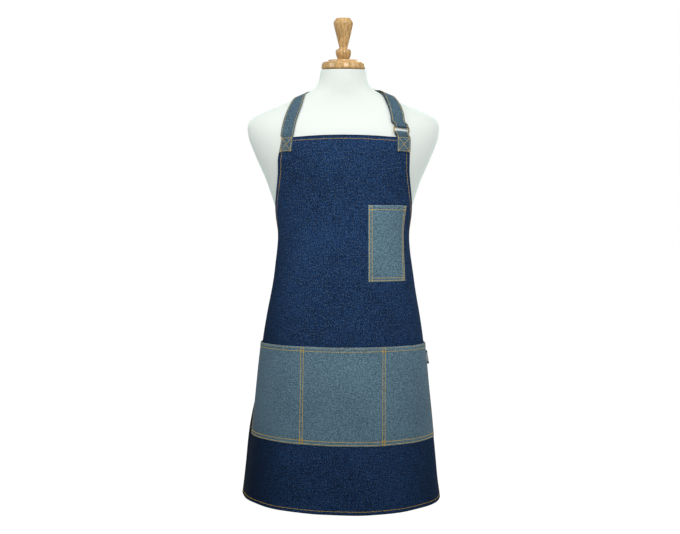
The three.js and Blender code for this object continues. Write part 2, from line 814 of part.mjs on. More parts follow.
function makeNeckStrap() {
  const up = vec(0, 0, 1);
  const degrees = THREE.MathUtils.degToRad;
  const box = boxRows(-1, TAB_LAYER);
  const left = overShoulder(-1, SINGLE_CLEAR, 0);
  const free = (list, off = 0) => list.map((turn) => ({ point: onNeckArc(degrees(turn), off), across: up }));
  const woven = [
    [-16, 0],
    [-13, 0],
    [-10, 0.1],
    [-6, 3.1],
    [-3, 5.4],
    [0, 6.2],
    [3, 5.4],
    [6, 3.1],
    [10, 0.1],
    [13, 0],
    [16, 0],
  ].map(([x, y]) => ({ point: bySlider(x, y), across: up }));
  const right = overShoulder(1, STRAP_CLEAR, 0).reverse();
  const returning = overShoulder(1, RETURN_CLEAR, RETURN_CLEAR - STRAP_CLEAR);
  const bar = (RING.innerHeight + RING.wire) / 2;
  const fold = roundBar(bar, -1, RING_FRAME.side.clone().negate());
  const loop = [
    [16, -3.1],
    [11, -3.1],
    [5, -1],
    ...steps(-Math.PI / 2, -1.5 * Math.PI, 6).map((turn) => [
      2.1 * Math.cos(turn),
      SLIDER.lift + 2.1 * Math.sin(turn),
    ]),
  ].map(([x, y]) => ({ point: bySlider(x, y), across: up }));
  const samples = [
    ...left,
    ...free([-36, -28, -20, -12, -4]),
    ...woven,
    ...free([31, 37]),
    ...right,
    ...fold,
    ...returning,
    ...free([37, 31], RETURN_CLEAR - STRAP_CLEAR),
    ...loop,
  ];
  place("neck_strap", thick([...box, ...ribbonRows(samples, STRAP_WIDTH)], WEBBING), CHAMBRAY);
}

// ---------------------------------------------------------------- waist ties

const KNOT = vec(0, 109, 556);

function makeTies() {
  for (const [name, side] of [
    ["waist_tie_left", 1],
    ["waist_tie_right", -1],
  ]) {
    const sewn = [302, 316, 329, 341].map((across) =>
      [-0.5, 0, 0.5].map((w) => {
        const down = ARMHOLE_DEPTH + 16 - w * TIE_WIDTH;
        return hang(side * across, down, -TAB_LAYER - 0.8);
      }),
    );
    const route = [
      sewn[3][1],
      vec(side * 84, 99.5, 544),
      vec(side * 58, 101.5, 549),
      vec(side * 34, 101, 553),
      vec(side * 14.5, 100.8, KNOT.z),
    ];
    const curve = new THREE.CatmullRomCurve3(route, false, "centripetal");
    const strip = steps(0, 1, 8)
      .slice(1)
      .map((t) => ({
        point: curve.getPointAt(t),
        across: vec(0, 0, 1),
        scale: 1 - 0.25 * t ** 3,
        clearance: 3,
      }));
    place(name, thick([...sewn, ...ribbonRows(strip, TIE_WIDTH)], WEBBING), CHAMBRAY);
  }
  makeBow();
}

function makeBow() {
  const knot = new THREE.SphereGeometry(1, 10, 7).scale(13.5, 8, 14).translate(...KNOT);
  const pieces = [knot];
  for (const side of [1, -1]) {
    const loop = new THREE.CatmullRomCurve3(
      [
        [5, 106.5, 556],
        [34, 106, 553],
        [66, 106.5, 545],
        [80, 111, 540],
        [66, 116, 543],
        [34, 115, 552],
        [5, 112, 556],
      ].map(([x, y, z]) => vec(side * x, y, z)),
    );
    const loopRows = steps(0, 1, 12).map((t) => {
      const pinch = 1 - 0.35 * Math.abs(2 * t - 1) ** 4;
      return { point: loop.getPointAt(t), across: vec(0, 0, 1), scale: pinch };
    });
    pieces.push(thick(ribbonRows(loopRows, TIE_WIDTH), WEBBING));
    const tail = new THREE.CatmullRomCurve3(
      [
        [9, 110, 551],
        [14, 112, 515],
        [18, 116, 470],
        [20, 122.5, 430],
        [22, 127, 390],
        [24, 129.5, 345],
        [25, 130, 300],
        [26, 130, 200],
        [27 + side * 2, 130, side > 0 ? 96 : 104],
      ].map(([x, y, z]) => vec(side * x, y, z)),
    );
    const tailRows = steps(0, 1, 14).map((t) => {
      return { point: tail.getPointAt(t), across: vec(1, 0, 0), scale: 0.7 + 0.3 * smooth(t, 0, 0.15) };
    });
    pieces.push(thick(ribbonRows(tailRows, TIE_WIDTH), WEBBING));
  }
  place("tie_bow", join(...pieces), CHAMBRAY);
}

makeStand();
makePost();
makeForm();
makeNeckCap();
makeApron();
makeRing();
makeSlider();
makeNeckStrap();
makeTies();

export default apronOnForm;
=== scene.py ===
"""A denim bib apron on a half-body dress form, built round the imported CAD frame.

Everything is in metres in the frame's axes: +Z up, the form faces -Y, and +X is the form's own left.
Cloth is laid out flat first, with u across from the middle line and v down from the bib's top edge.
"""

import math
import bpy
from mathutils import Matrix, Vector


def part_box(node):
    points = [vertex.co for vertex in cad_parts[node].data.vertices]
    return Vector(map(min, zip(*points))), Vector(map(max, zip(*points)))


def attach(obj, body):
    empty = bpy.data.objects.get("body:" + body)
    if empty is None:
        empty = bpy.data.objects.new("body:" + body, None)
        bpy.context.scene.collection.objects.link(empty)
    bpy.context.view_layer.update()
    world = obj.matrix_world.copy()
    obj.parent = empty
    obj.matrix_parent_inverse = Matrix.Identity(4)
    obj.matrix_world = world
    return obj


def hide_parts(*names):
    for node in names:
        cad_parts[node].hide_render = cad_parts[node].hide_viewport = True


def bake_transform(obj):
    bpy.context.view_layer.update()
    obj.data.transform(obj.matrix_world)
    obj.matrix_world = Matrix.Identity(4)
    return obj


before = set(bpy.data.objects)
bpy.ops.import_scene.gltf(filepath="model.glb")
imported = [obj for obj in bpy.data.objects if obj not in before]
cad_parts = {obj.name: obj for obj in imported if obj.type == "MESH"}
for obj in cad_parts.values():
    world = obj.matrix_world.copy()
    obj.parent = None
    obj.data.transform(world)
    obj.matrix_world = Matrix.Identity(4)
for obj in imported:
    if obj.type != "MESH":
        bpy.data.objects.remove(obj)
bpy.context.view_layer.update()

import bmesh
import bpy
import numpy as np
from mathutils import Matrix, Vector

bl_info = {
    "name": "Apron on a Dress Form",
    "version": (1, 0, 0),
    "blender": (4, 5, 0),
    "location": "View3D > Sidebar > Apron",
    "description": "Builds a denim bib apron and the dress form that wears it",
    "category": "Add Mesh",
}

# ------------------------------------------------------------------ sizes of the real pieces

SIDE_WIDTH = 0.343  # half the flat width of the skirt
BIB_WIDTH = 0.152  # half the flat width of the bib's top edge
ARMHOLE_DEPTH = 0.290  # from the bib's top edge down to the waist corner
BIB_TOP = 0.840
HEM = 0.009
APRON_LENGTH = 0.839
CLOTH_CLEAR = 0.003  # middle of the panel, from the form's shell
PANEL = 0.0012  # thickness of the denim
HEM_EXTRA = 0.0007  # how much a turned hem adds
HEM_WIDTH = 0.010
POCKET_CLOTH = 0.0010  # thickness of the chambray
POCKET_HEM = 0.0008  # how much the turned mouth adds
POCKET_TURN = 0.0003  # how much the turned edges add
EDGE_STITCH = 0.0022  # from an edge to the stitches beside it
PANEL_THREAD = 0.75  # shares of the pockets' thread width
STRAP_THREAD = 0.80
THREAD_SEAT = 0.0001  # how far a stitch's middle stands off the cloth
WAIST_POCKET = {"half": 0.280, "top": 0.478, "height": 0.216, "divider": 0.280 / 3, "gape": 0.0035}
CHEST_POCKET = {"left": 0.056, "width": 0.101, "top": 0.160, "height": 0.171, "gape": 0.003}

LABEL = (0.010, 0.030)
LABEL_DROP = 0.022  # from the waist pocket's mouth

STRAP_WIDTH = 0.030
TIE_WIDTH = 0.028
WEBBING = 0.0015  # thickness of the strap
TIE_WEBBING = 0.0014  # thickness of the ties
BOX_MIDDLE = 0.137  # the sewn box at a bib corner, from the middle line
BOX_HEIGHT = 0.033
TAB_LAYER = 0.00185  # first layer of webbing on the bib, from the panel's middle
LAYER_STEP = 0.0019  # from one layer of webbing to the next
STRAP_CLEAR = 0.0068  # middle of the outer strap from the shell, where it lies double
RETURN_CLEAR = 0.0034  # middle of the strap that returns under it
SINGLE_CLEAR = 0.0032  # middle of the single strap
SLACK = 0.0002  # how much nearer a ribbon's edges may lie than its middle
RING = {"wire": 0.003, "width": 0.0316, "height": 0.0124}
RING_PLACE = (0.1316, -0.0826, 0.8552)
FOLD = RING["wire"] / 2 + 0.0005 + 0.0008  # webbing's middle, from the middle of the bar it goes round
NECK_ARC = {"height": 0.957, "radius": 0.072, "middle": -0.0015}
SLIDER = {"turn": math.radians(14), "wire": 0.002, "width": 0.0315, "span": 0.026, "lift": 0.0021}
COVER = 0.0013  # outside of the jersey cover, from the shell
NECK_TOP = 0.9988
NECK_LEAN = math.radians(5)  # how far the cap and the knob tip

# Torso sections: height, half width, half depth, middle, and the exponent of the oval.
TORSO = [
    (0.300, 0.152, 0.104, 0.008, 2.2),
    (0.345, 0.165, 0.114, 0.009, 2.2),
    (0.430, 0.160, 0.108, 0.007, 2.2),
    (0.520, 0.141, 0.094, 0.004, 2.1),
    (0.600, 0.134, 0.090, 0.003, 2.1),
    (0.680, 0.158, 0.102, 0.002, 2.1),
    (0.745, 0.180, 0.110, 0.002, 2.1),
    (0.800, 0.204, 0.110, 0.002, 2.1),
    (0.848, 0.221, 0.096, 0.003, 2.1),
    (0.880, 0.217, 0.077, 0.004, 2.1),
    (0.900, 0.184, 0.066, 0.005, 2.1),
    (0.918, 0.141, 0.060, 0.006, 2.05),
    (0.935, 0.103, 0.057, 0.006, 2.0),
    (0.950, 0.073, 0.056, 0.005, 2.0),
    (0.968, 0.058, 0.055, 0.003, 2.0),
    (NECK_TOP, 0.0515, 0.0515, 0.0, 2.0),
]

# Apron sections: height at the front, half width and half depth of the oval that the cloth hangs in.
APRON = [
    (BIB_TOP, 0.206, 0.104),
    (0.780, 0.190, 0.117),
    (0.700, 0.171, 0.119),
    (0.612, 0.153, 0.120),
    (0.364, 0.188, 0.141),
    (0.151, 0.213, 0.173),
    (HEM, 0.231, 0.199),
]

# The strap's way over the shoulder on the +X side, from the ring to behind the neck.
SHOULDER_ROUTE = [
    (0.1245, -0.076, 0.874),
    (0.118, -0.060, 0.893),
    (0.1115, -0.047, 0.908),
    (0.106, -0.033, 0.920),
    (0.100, -0.016, 0.929),
    (0.0935, 0.004, 0.935),
    (0.0850, 0.023, 0.9385),
    (0.074, 0.039, 0.944),
    (0.062, 0.049, 0.951),
]
RING_SIDE_SWELL = (0.004, 0.006, 0.005, 0.002)  # the doubled strap stands further out there


# ------------------------------------------------------------------ cloth mathematics


def unit(vectors):
    """The vectors, each one metre long."""
    return vectors / np.maximum(np.linalg.norm(vectors, axis=-1, keepdims=True), 1e-12)


def smoothstep(x, low, high):
    """0 below low, 1 above high, and a smooth rise between."""
    t = np.clip((np.asarray(x, float) - low) / (high - low), 0, 1)
    return t * t * (3 - 2 * t)


def rows_at(table, keys):
    """Smooth rows between a table's rows, for each key in its steadily rising or falling first column."""
    table = np.array(table, float)
    if table[0, 0] > table[-1, 0]:
        table = table[::-1]
    x = table[:, 0]
    keys = np.asarray(keys, float)
    i = np.clip(np.searchsorted(x, keys), 1, len(x) - 1)
    last = len(x) - 1
    a, b = table[i - 1], table[i]
    before, after = table[np.maximum(i - 2, 0)], table[np.minimum(i + 1, last)]
    span = (b[..., 0] - a[..., 0])[..., None]
    t = np.clip((keys - a[..., 0])[..., None] / span, 0, 1)
    slope_a = (b - before) / (b[..., 0] - before[..., 0])[..., None] * span
    slope_b = (after - a) / (after[..., 0] - a[..., 0])[..., None] * span
    rows = (
        a * (2 * t**3 - 3 * t**2 + 1)
        + slope_a * (t**3 - 2 * t**2 + t)
        + b * (3 * t**2 - 2 * t**3)
        + slope_b * (t**3 - t**2)
    )
    return [rows[..., k] for k in range(1, table.shape[1])]


def torso_field(p):
    """Above 1 outside the torso, below 1 inside it."""
    a, b, c, n = rows_at(TORSO, p[..., 2])
    return (np.abs(p[..., 0] / a) ** n + np.abs((p[..., 1] - c) / b) ** n) ** (1 / n)


def torso_distance(p):
    """Outward normals and distances from the shell, near the torso."""
    step = 0.0005
    slopes = []
    for axis in np.eye(3):
        slopes.append((torso_field(p + step * axis) - torso_field(p - step * axis)) / (2 * step))
    gradient = np.stack(slopes, -1)
    steepness = np.maximum(np.linalg.norm(gradient, axis=-1), 1e-9)
    return gradient / steepness[..., None], (torso_field(p) - 1) / steepness


def settle(points, clearance, only_out=False):
    """Moves points along the torso's normal until they stand `clearance` off the shell."""
    p = np.array(points, float)
    for _ in range(8):
        normal, distance = torso_distance(p)
        move = clearance - distance
        if only_out:
            move = np.maximum(move, 0)
        p += normal * move[..., None]
    return p


def torso_surface(height, turn, off):
    """Points on the torso's oval at a height, `turn` round from the front and `off` along the normal."""
    a, b, c, n = rows_at(TORSO, height)
    s, k = np.sin(turn), np.cos(turn)
    p = np.stack(
        [a * np.sign(s) * np.abs(s) ** (2 / n), c - b * np.sign(k) * np.abs(k) ** (2 / n), height], -1
    )
    probe = p.copy()
    probe[..., 2] = np.minimum(probe[..., 2], 0.995)
    normal, _ = torso_distance(probe)
    normal[..., 2] *= (1 - smoothstep(height, 0.960, NECK_TOP)) * smoothstep(height, 0.3, 0.33)
    p = p + unit(normal) * np.broadcast_to(off, height.shape)[..., None]
    p[..., 2] += (p[..., 1] - c) * math.tan(NECK_LEAN) * smoothstep(height, 0.965, NECK_TOP)
    return p


def front_heights():
    """Heights down the front middle line, and the length of cloth above each."""
    z = np.linspace(BIB_TOP, HEM, 3000)
    _, depth = rows_at(APRON, z)
    length = np.concatenate([[0], np.cumsum(np.hypot(np.diff(z), np.diff(depth)))])
    return length, z


FRONT_LENGTHS, FRONT_HEIGHTS = front_heights()


def half_width(v):
    """Half the flat width of the panel at v."""
    scoop = np.sqrt(np.clip(1 - (np.asarray(v, float) / ARMHOLE_DEPTH) ** 2, 0, 1))
    return SIDE_WIDTH - (SIDE_WIDTH - BIB_WIDTH) * scoop


def soft_folds(u, v):
    """How far the cloth stands off its smooth shape: long shallow folds that grow towards the hem,
    and short pulls that fan out from the waist corners."""
    low = smoothstep(v, 0.30, 0.84)
    folds = 0.0016 * low * np.sin(u * 27 + 0.7 + 1.2 * np.sin(v * 5.1))
    folds += 0.0009 * low * np.sin(u * 61 - 1.9 + 2.0 * np.sin(v * 7.3 + 0.5))
    for side, phase in ((1, 0.4), (-1, 1.7)):
        x, y = SIDE_WIDTH - side * u, v - ARMHOLE_DEPTH
        reach = np.hypot(x, y)
        fan = np.arctan2(y, x)
        fade = np.exp(-reach / 0.11) * smoothstep(reach, 0.004, 0.05)
        folds += 0.0012 * fade * np.sin(7 * fan + phase)
    folds += 0.0007 * np.sin(u * 33 + 2.2) * np.sin(v * 11 + 0.9) * (1 - low)
    return folds


def hang(u, v, off=0.0):
    """Where points of the flat cloth hang: u across from the middle line, v down from the bib's top."""
    u, v = np.broadcast_arrays(np.asarray(u, float), np.asarray(v, float))
    height = np.interp(v, FRONT_LENGTHS, FRONT_HEIGHTS)
    a, b = rows_at(APRON, height)
    turns = np.linspace(0, 2.6, 261)
    middle = (turns[1:] + turns[:-1]) / 2
    pieces = np.hypot(a[..., None] * np.cos(middle), b[..., None] * np.sin(middle))
    pieces *= turns[1] - turns[0]
    arcs = np.concatenate([np.zeros(u.shape + (1,)), np.cumsum(pieces, -1)], -1)
    flat_arcs, flat_u = arcs.reshape(-1, len(turns)), np.abs(u).reshape(-1)
    turn = np.array([np.interp(x, row, turns) for x, row in zip(flat_u, flat_arcs)]).reshape(u.shape)
    turn *= np.sign(u)
    droop = 0.007 * (u / BIB_WIDTH) ** 2 * np.maximum(0, 1 - v / 0.150)
    tug = 0.009 * np.clip(-u / BIB_WIDTH, 0, 1) ** 2 * (1 - smoothstep(v, 0.0, 0.055))
    sway = np.maximum(0, (v - 0.30) / 0.54) ** 1.5
    p = np.stack([a * np.sin(turn), -b * np.cos(turn), height - droop], -1)
    outward = unit(np.stack([np.sin(turn) / a, -np.cos(turn) / b, np.zeros_like(a)], -1))
    p = settle(p, CLOTH_CLEAR, only_out=True)
    share = p[..., 0] / 0.23
    low = smoothstep(v, 0.64, 0.84)
    wing = 0.009 * smoothstep(-u, 0.283, 0.33) * np.exp(-(((v - 0.67) / 0.10) ** 2))
    p[..., 2] -= 0.0072 * sway * share + low * (0.006 - 0.0032 * share - 0.002 * share**2)
    p[..., 0] += tug - 0.006 * sway - wing
    return p + outward * (np.asarray(off, float) + soft_folds(u, v))[..., None]


def bulge(gape, x, y):
    """How far a pocket stands off: nothing at its seams, `gape` at the middle of its mouth."""
    return gape * np.clip(1 - x**2, 0, 1) ** 0.75 * np.sqrt(np.clip(1 - np.abs(y) ** 3, 0, 1))


def pocket_seat():
    """From the panel's middle to a pocket's middle."""
    return PANEL / 2 + 0.0004 + POCKET_CLOTH / 2


def waist_pocket_off(u, v):
    """How far the waist pocket's middle stands off the panel's middle."""
    pocket = WAIST_POCKET
    side = np.abs(u)
    outer = (side - pocket["divider"]) / (pocket["half"] - pocket["divider"]) * 2 - 1
    share = np.where(side <= pocket["divider"], side / pocket["divider"], outer)
    return pocket_seat() + bulge(pocket["gape"], share, (v - pocket["top"]) / pocket["height"])


def chest_pocket_off(u, v):
    """How far the chest pocket's middle stands off the panel's middle."""
    pocket = CHEST_POCKET
    share = (u - pocket["left"]) / pocket["width"] * 2 - 1
    return pocket_seat() + bulge(pocket["gape"], share, (v - pocket["top"]) / pocket["height"])


def lengths_along(line):
    """How far along a line each of its points is."""
    return np.concatenate([[0], np.cumsum(np.linalg.norm(np.diff(line, axis=0), axis=1))])


def between_knots(t, low, high, first, second):
    """First at the low knot, second at the high one, and a straight line through them."""
    return (high - t) / (high - low) * first + (t - low) / (high - low) * second


def smooth_path(points, share):
    """Points at those shares of a smooth curve's length, through the points."""
    p = np.array(points, float)
    ends = np.vstack([2 * p[0] - p[1], p, 2 * p[-1] - p[-2]])
    knots = np.concatenate([[0], np.cumsum(np.linalg.norm(np.diff(ends, axis=0), axis=1) ** 0.5)])
    found = []
    for i in range(1, len(ends) - 2):
        t = np.linspace(knots[i], knots[i + 1], 24, endpoint=i == len(ends) - 3)[:, None]
        k, q = knots[i - 1 : i + 3], ends[i - 1 : i + 3]
        a = [between_knots(t, k[j], k[j + 1], q[j], q[j + 1]) for j in range(3)]
        b = [between_knots(t, k[j], k[j + 2], a[j], a[j + 1]) for j in range(2)]
        found.append(between_knots(t, k[1], k[2], *b))
    line = np.vstack(found)
    length = lengths_along(line)
    wanted = np.asarray(share) * length[-1]
    return np.stack([np.interp(wanted, length, line[:, k]) for k in range(3)], -1)


def grid_normals(grid):
    """Normals of a grid, which face the viewer when its rows run down and its columns run right."""
    return unit(np.cross(np.gradient(grid, axis=0), np.gradient(grid, axis=1)))


def hung_normals(u, v, off_at):
    """Normals of cloth that hangs off_at(u, v) from the panel's middle."""
    e = 0.0012

    def at(x, y):
        return hang(x, y, off_at(x, y))

    return unit(np.cross(at(u, v + e) - at(u, v - e), at(u + e, v) - at(u - e, v)))


# ------------------------------------------------------------------ meshes


def add_object(name, mesh, finish=None):
    """A new object in the scene with that mesh."""
    obj = bpy.data.objects.new(name, mesh)
    bpy.context.scene.collection.objects.link(obj)
    if finish:
        mesh.materials.append(finish)
    return obj


def finished(name, mesh, paint, body, node):
    """A finished piece that rides on a body and stands for a CAD node."""
    piece = add_object(name, mesh, material(paint))
    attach(piece, body)
    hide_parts(node)
    return piece


def tidied(mesh, join=0.0):
    """The mesh with its faces turned outwards, and with points that lie within `join` made one."""
    work = bmesh.new()
    work.from_mesh(mesh)
    if join:
        bmesh.ops.remove_doubles(work, verts=work.verts, dist=join)
    bmesh.ops.recalc_face_normals(work, faces=work.faces)
    work.to_mesh(mesh)
    work.free()
    return mesh


def mesh_from(name, points, faces, flat=None, attributes=None):
    """A smooth mesh from arrays. flat is a UV in metres for each point, and attributes are floats."""
    mesh = bpy.data.meshes.new(name)
    mesh.from_pydata(np.asarray(points, float).tolist(), [], [tuple(face) for face in faces])
    mesh.update()
    mesh.shade_smooth()
    if flat is not None:
        corner = np.zeros(len(mesh.loops), np.int32)
        mesh.loops.foreach_get("vertex_index", corner)
        layer = mesh.uv_layers.new(name="cloth")
        layer.data.foreach_set("uv", np.asarray(flat, np.float32)[corner].ravel())
    for key, values in (attributes or {}).items():
        layer = mesh.attributes.new(key, "FLOAT", "POINT")
        layer.data.foreach_set("value", np.asarray(values, np.float32))
    return mesh


def grid_faces(rows, columns, start=0):
    """The quads of a grid of points, numbered by rows."""
    r, c = np.meshgrid(np.arange(rows - 1), np.arange(columns - 1), indexing="ij")
    first = r * columns + c
    quads = [first, first + 1, first + columns + 1, first + columns]
    return np.stack(quads, -1).reshape(-1, 4) + start


def border_of(rows, columns):
    """A grid's border points in order, and the inner neighbour of each."""
    top = [(0, c) for c in range(columns)]
    right = [(r, columns - 1) for r in range(1, rows)]
    bottom = [(rows - 1, c) for c in range(columns - 2, -1, -1)]
    left = [(r, 0) for r in range(rows - 2, 0, -1)]
    border = np.array(top + right + bottom + left)
    inner = np.stack([np.clip(border[:, 0], 1, rows - 2), np.clip(border[:, 1], 1, columns - 2)], -1)
    return border, inner


def cloth_mesh(name, middle, flat, thickness, edge=None, cut_ends=(False, False), normals=None):
    """A closed sheet about a grid of middle points, with rounded edges. flat holds each point's place on
    the flat cloth, and edge its distance from the cloth's edge. A cut end is left square."""
    rows, columns = middle.shape[:2]
    thickness = np.broadcast_to(np.asarray(thickness, float), (rows, columns))
    facing = grid_normals(middle) if normals is None else normals
    half = facing * thickness[..., None] / 2
    border, inner = border_of(rows, columns)
    outer, nearby = tuple(border.T), tuple(inner.T)
    reach = thickness[outer] / 2
    for end, row in zip(cut_ends, (0, rows - 1)):
        if end:
            reach = np.where((border[:, 0] == row), 0, reach)
    rim = middle[outer] + unit(middle[outer] - middle[nearby]) * reach[:, None]
    count, around = rows * columns, len(border)
    numbers = border[:, 0] * columns + border[:, 1]
    ring = np.arange(around)
    nxt = (ring + 1) % around
    front = grid_faces(rows, columns)
    back = grid_faces(rows, columns, count)[:, ::-1]
    rim_at = 2 * count
    outside = np.stack([numbers[ring], rim_at + ring, rim_at + nxt, numbers[nxt]], -1)
    inside = np.stack([count + numbers[nxt], rim_at + nxt, rim_at + ring, count + numbers[ring]], -1)
    points = np.vstack([(middle + half).reshape(-1, 3), (middle - half).reshape(-1, 3), rim])
    flats = np.vstack([flat.reshape(-1, 2), flat.reshape(-1, 2), flat[outer]])
    if edge is None:
        edge = np.full((rows, columns), 0.1)
    edges = np.concatenate([edge.ravel(), edge.ravel(), edge[outer]])
    sides = np.concatenate([np.zeros(count), np.ones(count), np.full(around, 0.5)])
    faces = np.vstack([front[:, ::-1], back[:, ::-1], outside[:, ::-1], inside[:, ::-1]])
    attributes = {"edge": edges, "inside": sides}
    mesh = mesh_from(name, points, faces, flats, attributes)
    if any(cut_ends):
        square_ends(mesh, rows, columns, cut_ends)
    return mesh


def square_ends(mesh, rows, columns, cut_ends):
    """Keeps the shading of a cut end's faces apart from the cloth's."""
    ends = set()
    for end, row in zip(cut_ends, (0, rows - 1)):
        if end:
            first = row * columns
            ends |= set(range(first, first + columns))
            ends |= set(range(rows * columns + first, rows * columns + first + columns))
    layer = mesh.attributes.new("sharp_edge", "BOOLEAN", "EDGE")
    sharp = [all(v in ends for v in edge.vertices) for edge in mesh.edges]
    layer.data.foreach_set("value", sharp)


def lathe_mesh(name, outline, sides, place=None):
    """A turned piece about Z from its outline of (radius, height). Points on the axis close it."""
    outline = np.array(outline, float)
    closed_loop = outline[0, 0] > 0
    turn = np.linspace(0, 2 * np.pi, sides, endpoint=False)
    points, numbers = [], []
    for radius, height in outline:
        if radius == 0:
            numbers.append([len(points)] * sides)
            points.append((0, 0, height))
        else:
            numbers.append(range(len(points), len(points) + sides))
            points += [(radius * math.cos(t), radius * math.sin(t), height) for t in turn]
    faces = []
    count = len(outline)
    for i in range(count if closed_loop else count - 1):
        low, high = numbers[i], numbers[(i + 1) % count]
        for k in range(sides):
            n = (k + 1) % sides
            face = [low[k], low[n], high[n], high[k]]
            face = [v for j, v in enumerate(face) if v != face[j - 1]]
            if len(face) > 2:
                faces.append(face)
    mesh = mesh_from(name, points, faces)
    if place is not None:
        mesh.transform(place)
    return mesh


def arc(centre, radius, start, end, steps=6):
    """Points of a circular arc, in degrees, for an outline."""
    turns = np.radians(np.linspace(start, end, steps + 1))
    return [(centre[0] + radius * math.cos(t), centre[1] + radius * math.sin(t)) for t in turns]


def sharpen(mesh, degrees):
    """Keeps edges crisp where faces meet at more than that angle."""
    mesh.set_sharp_from_angle(angle=math.radians(degrees))
    return mesh


def on_neck():
    """Places what is made about Z on the leaned top of the neck."""
    return Matrix.Translation((0, 0, NECK_TOP)) @ Matrix.Rotation(NECK_LEAN, 4, "X")


# ------------------------------------------------------------------ node graphs


class Value:
    """One output of a node. Sums on it add Math nodes."""

    def __init__(self, graph, socket):
        self.graph = graph
        self.socket = socket

    def maths(self, operation, *values):
        """The result of a Math node."""
        return self.graph.add("ShaderNodeMath", {"operation": operation}, list(values))

    def __add__(self, other):
        return self.maths("ADD", self, other)

    def __sub__(self, other):
        return self.maths("SUBTRACT", self, other)

    def __rsub__(self, other):
        return self.maths("SUBTRACT", other, self)

    def __mul__(self, other):
        return self.maths("MULTIPLY", self, other)

    def __truediv__(self, other):
        return self.maths("DIVIDE", self, other)

    def __neg__(self):
        return self.maths("MULTIPLY", self, -1.0)

    def __pow__(self, other):
        return self.maths("POWER", self, other)

    __radd__, __rmul__ = __add__, __mul__

    def sine(self):
        """The sine, in radians."""
        return self.maths("SINE", self)

    def waves(self, length):
        """A sine wave of that length."""
        return (self * (2 * math.pi / length)).sine()

    def size(self):
        """The value without its sign."""
        return self.maths("ABSOLUTE", self)

    def between(self, low, high):
        """0 at low, 1 at high, with a smooth rise."""
        settings = {"interpolation_type": "SMOOTHSTEP"}
        values = {"Value": self, "From Min": low, "From Max": high}
        return self.graph.add("ShaderNodeMapRange", settings, values)


class Graph:
    """A node tree that is being built."""

    def __init__(self, tree):
        self.tree = tree
        tree.nodes.clear()

    def add(self, kind, settings=None, values=None, out=0):
        """A node of that type: its settings are set first, then the values or links of its sockets."""
        node = self.tree.nodes.new(kind)
        for key, value in (settings or {}).items():
            if key == "stops":
                self.set_stops(node.color_ramp, value)
            else:
                setattr(node, key, value)
        pairs = values.items() if isinstance(values, dict) else enumerate(values or [])
        for key, value in pairs:
            socket = node.inputs[key]
            if isinstance(value, Value):
                self.tree.links.new(value.socket, socket)
            elif value is not None:
                socket.default_value = value
        return Value(self, node.outputs[out]) if node.outputs else node

    @staticmethod
    def set_stops(ramp, stops):
        """A colour ramp's stops, as (place, colour) pairs."""
        for index, (place, colour) in enumerate(stops):
            stop = ramp.elements[index] if index < 2 else ramp.elements.new(place)
            stop.position = place
            stop.color = colour


class Surface(Graph):
    """A material's nodes."""

    def __init__(self, name):
        self.material = bpy.data.materials.new(name)
        self.material.use_nodes = True
        super().__init__(self.material.node_tree)

    def flat_place(self):
        """The u and v of the cloth, in metres."""
        place = self.add("ShaderNodeUVMap", {"uv_map": "cloth"})
        split = self.add("ShaderNodeSeparateXYZ", values=[place])
        return split, Value(self, split.socket.node.outputs[1])

    def place(self):
        """Object coordinates, in metres."""
        return self.add("ShaderNodeTexCoord", out=3)

    def apart(self, vector):
        """A vector's x, y and z."""
        first = self.add("ShaderNodeSeparateXYZ", values=[vector])
        return [Value(self, output) for output in first.socket.node.outputs]

    def attribute(self, name):
        """A float that the mesh's points carry."""
        node = self.add("ShaderNodeAttribute", {"attribute_name": name})
        return Value(self, node.socket.node.outputs["Fac"])

    def noise(self, vector, scale=1.0, detail=2.0, roughness=0.5):
        """A cloudy pattern of numbers from 0 to 1, over a vector or over three values."""
        if isinstance(vector, tuple):
            vector = self.add("ShaderNodeCombineXYZ", values=vector)
        values = {"Vector": vector, "Scale": scale, "Detail": detail, "Roughness": roughness}
        return self.add("ShaderNodeTexNoise", values=values)

    def mix(self, factor, a, b):
        """Colour a where factor is 0 and b where it is 1."""
        node = self.add("ShaderNodeMix", {"data_type": "RGBA"})
        mixer = node.socket.node
        for socket, value in zip((mixer.inputs[0], mixer.inputs[6], mixer.inputs[7]), (factor, a, b)):
            if isinstance(value, Value):
                self.tree.links.new(value.socket, socket)
            else:
                socket.default_value = value
        return Value(self, mixer.outputs[2])

    def bump(self, height, strength, distance):
        """A normal from a height."""
        values = {"Strength": strength, "Distance": distance, "Height": height}
        return self.add("ShaderNodeBump", values=values)

    def shade(self, **values):
        """The finished surface. Names are the shader's sockets, with _ for a space."""
        named = {key.replace("_", " "): value for key, value in values.items()}
        shader = self.add("ShaderNodeBsdfPrincipled", values=named)
        self.add("ShaderNodeOutputMaterial", values=[shader])
        return self.material


def rgb(colour):
    """A colour property with its alpha."""
    return (colour[0], colour[1], colour[2], 1.0)


def shade_of(colour, amount):
    """A colour made lighter, or darker below 1."""
    return tuple(min(1.0, c * amount) for c in colour[:3]) + (1.0,)


# ------------------------------------------------------------------ materials


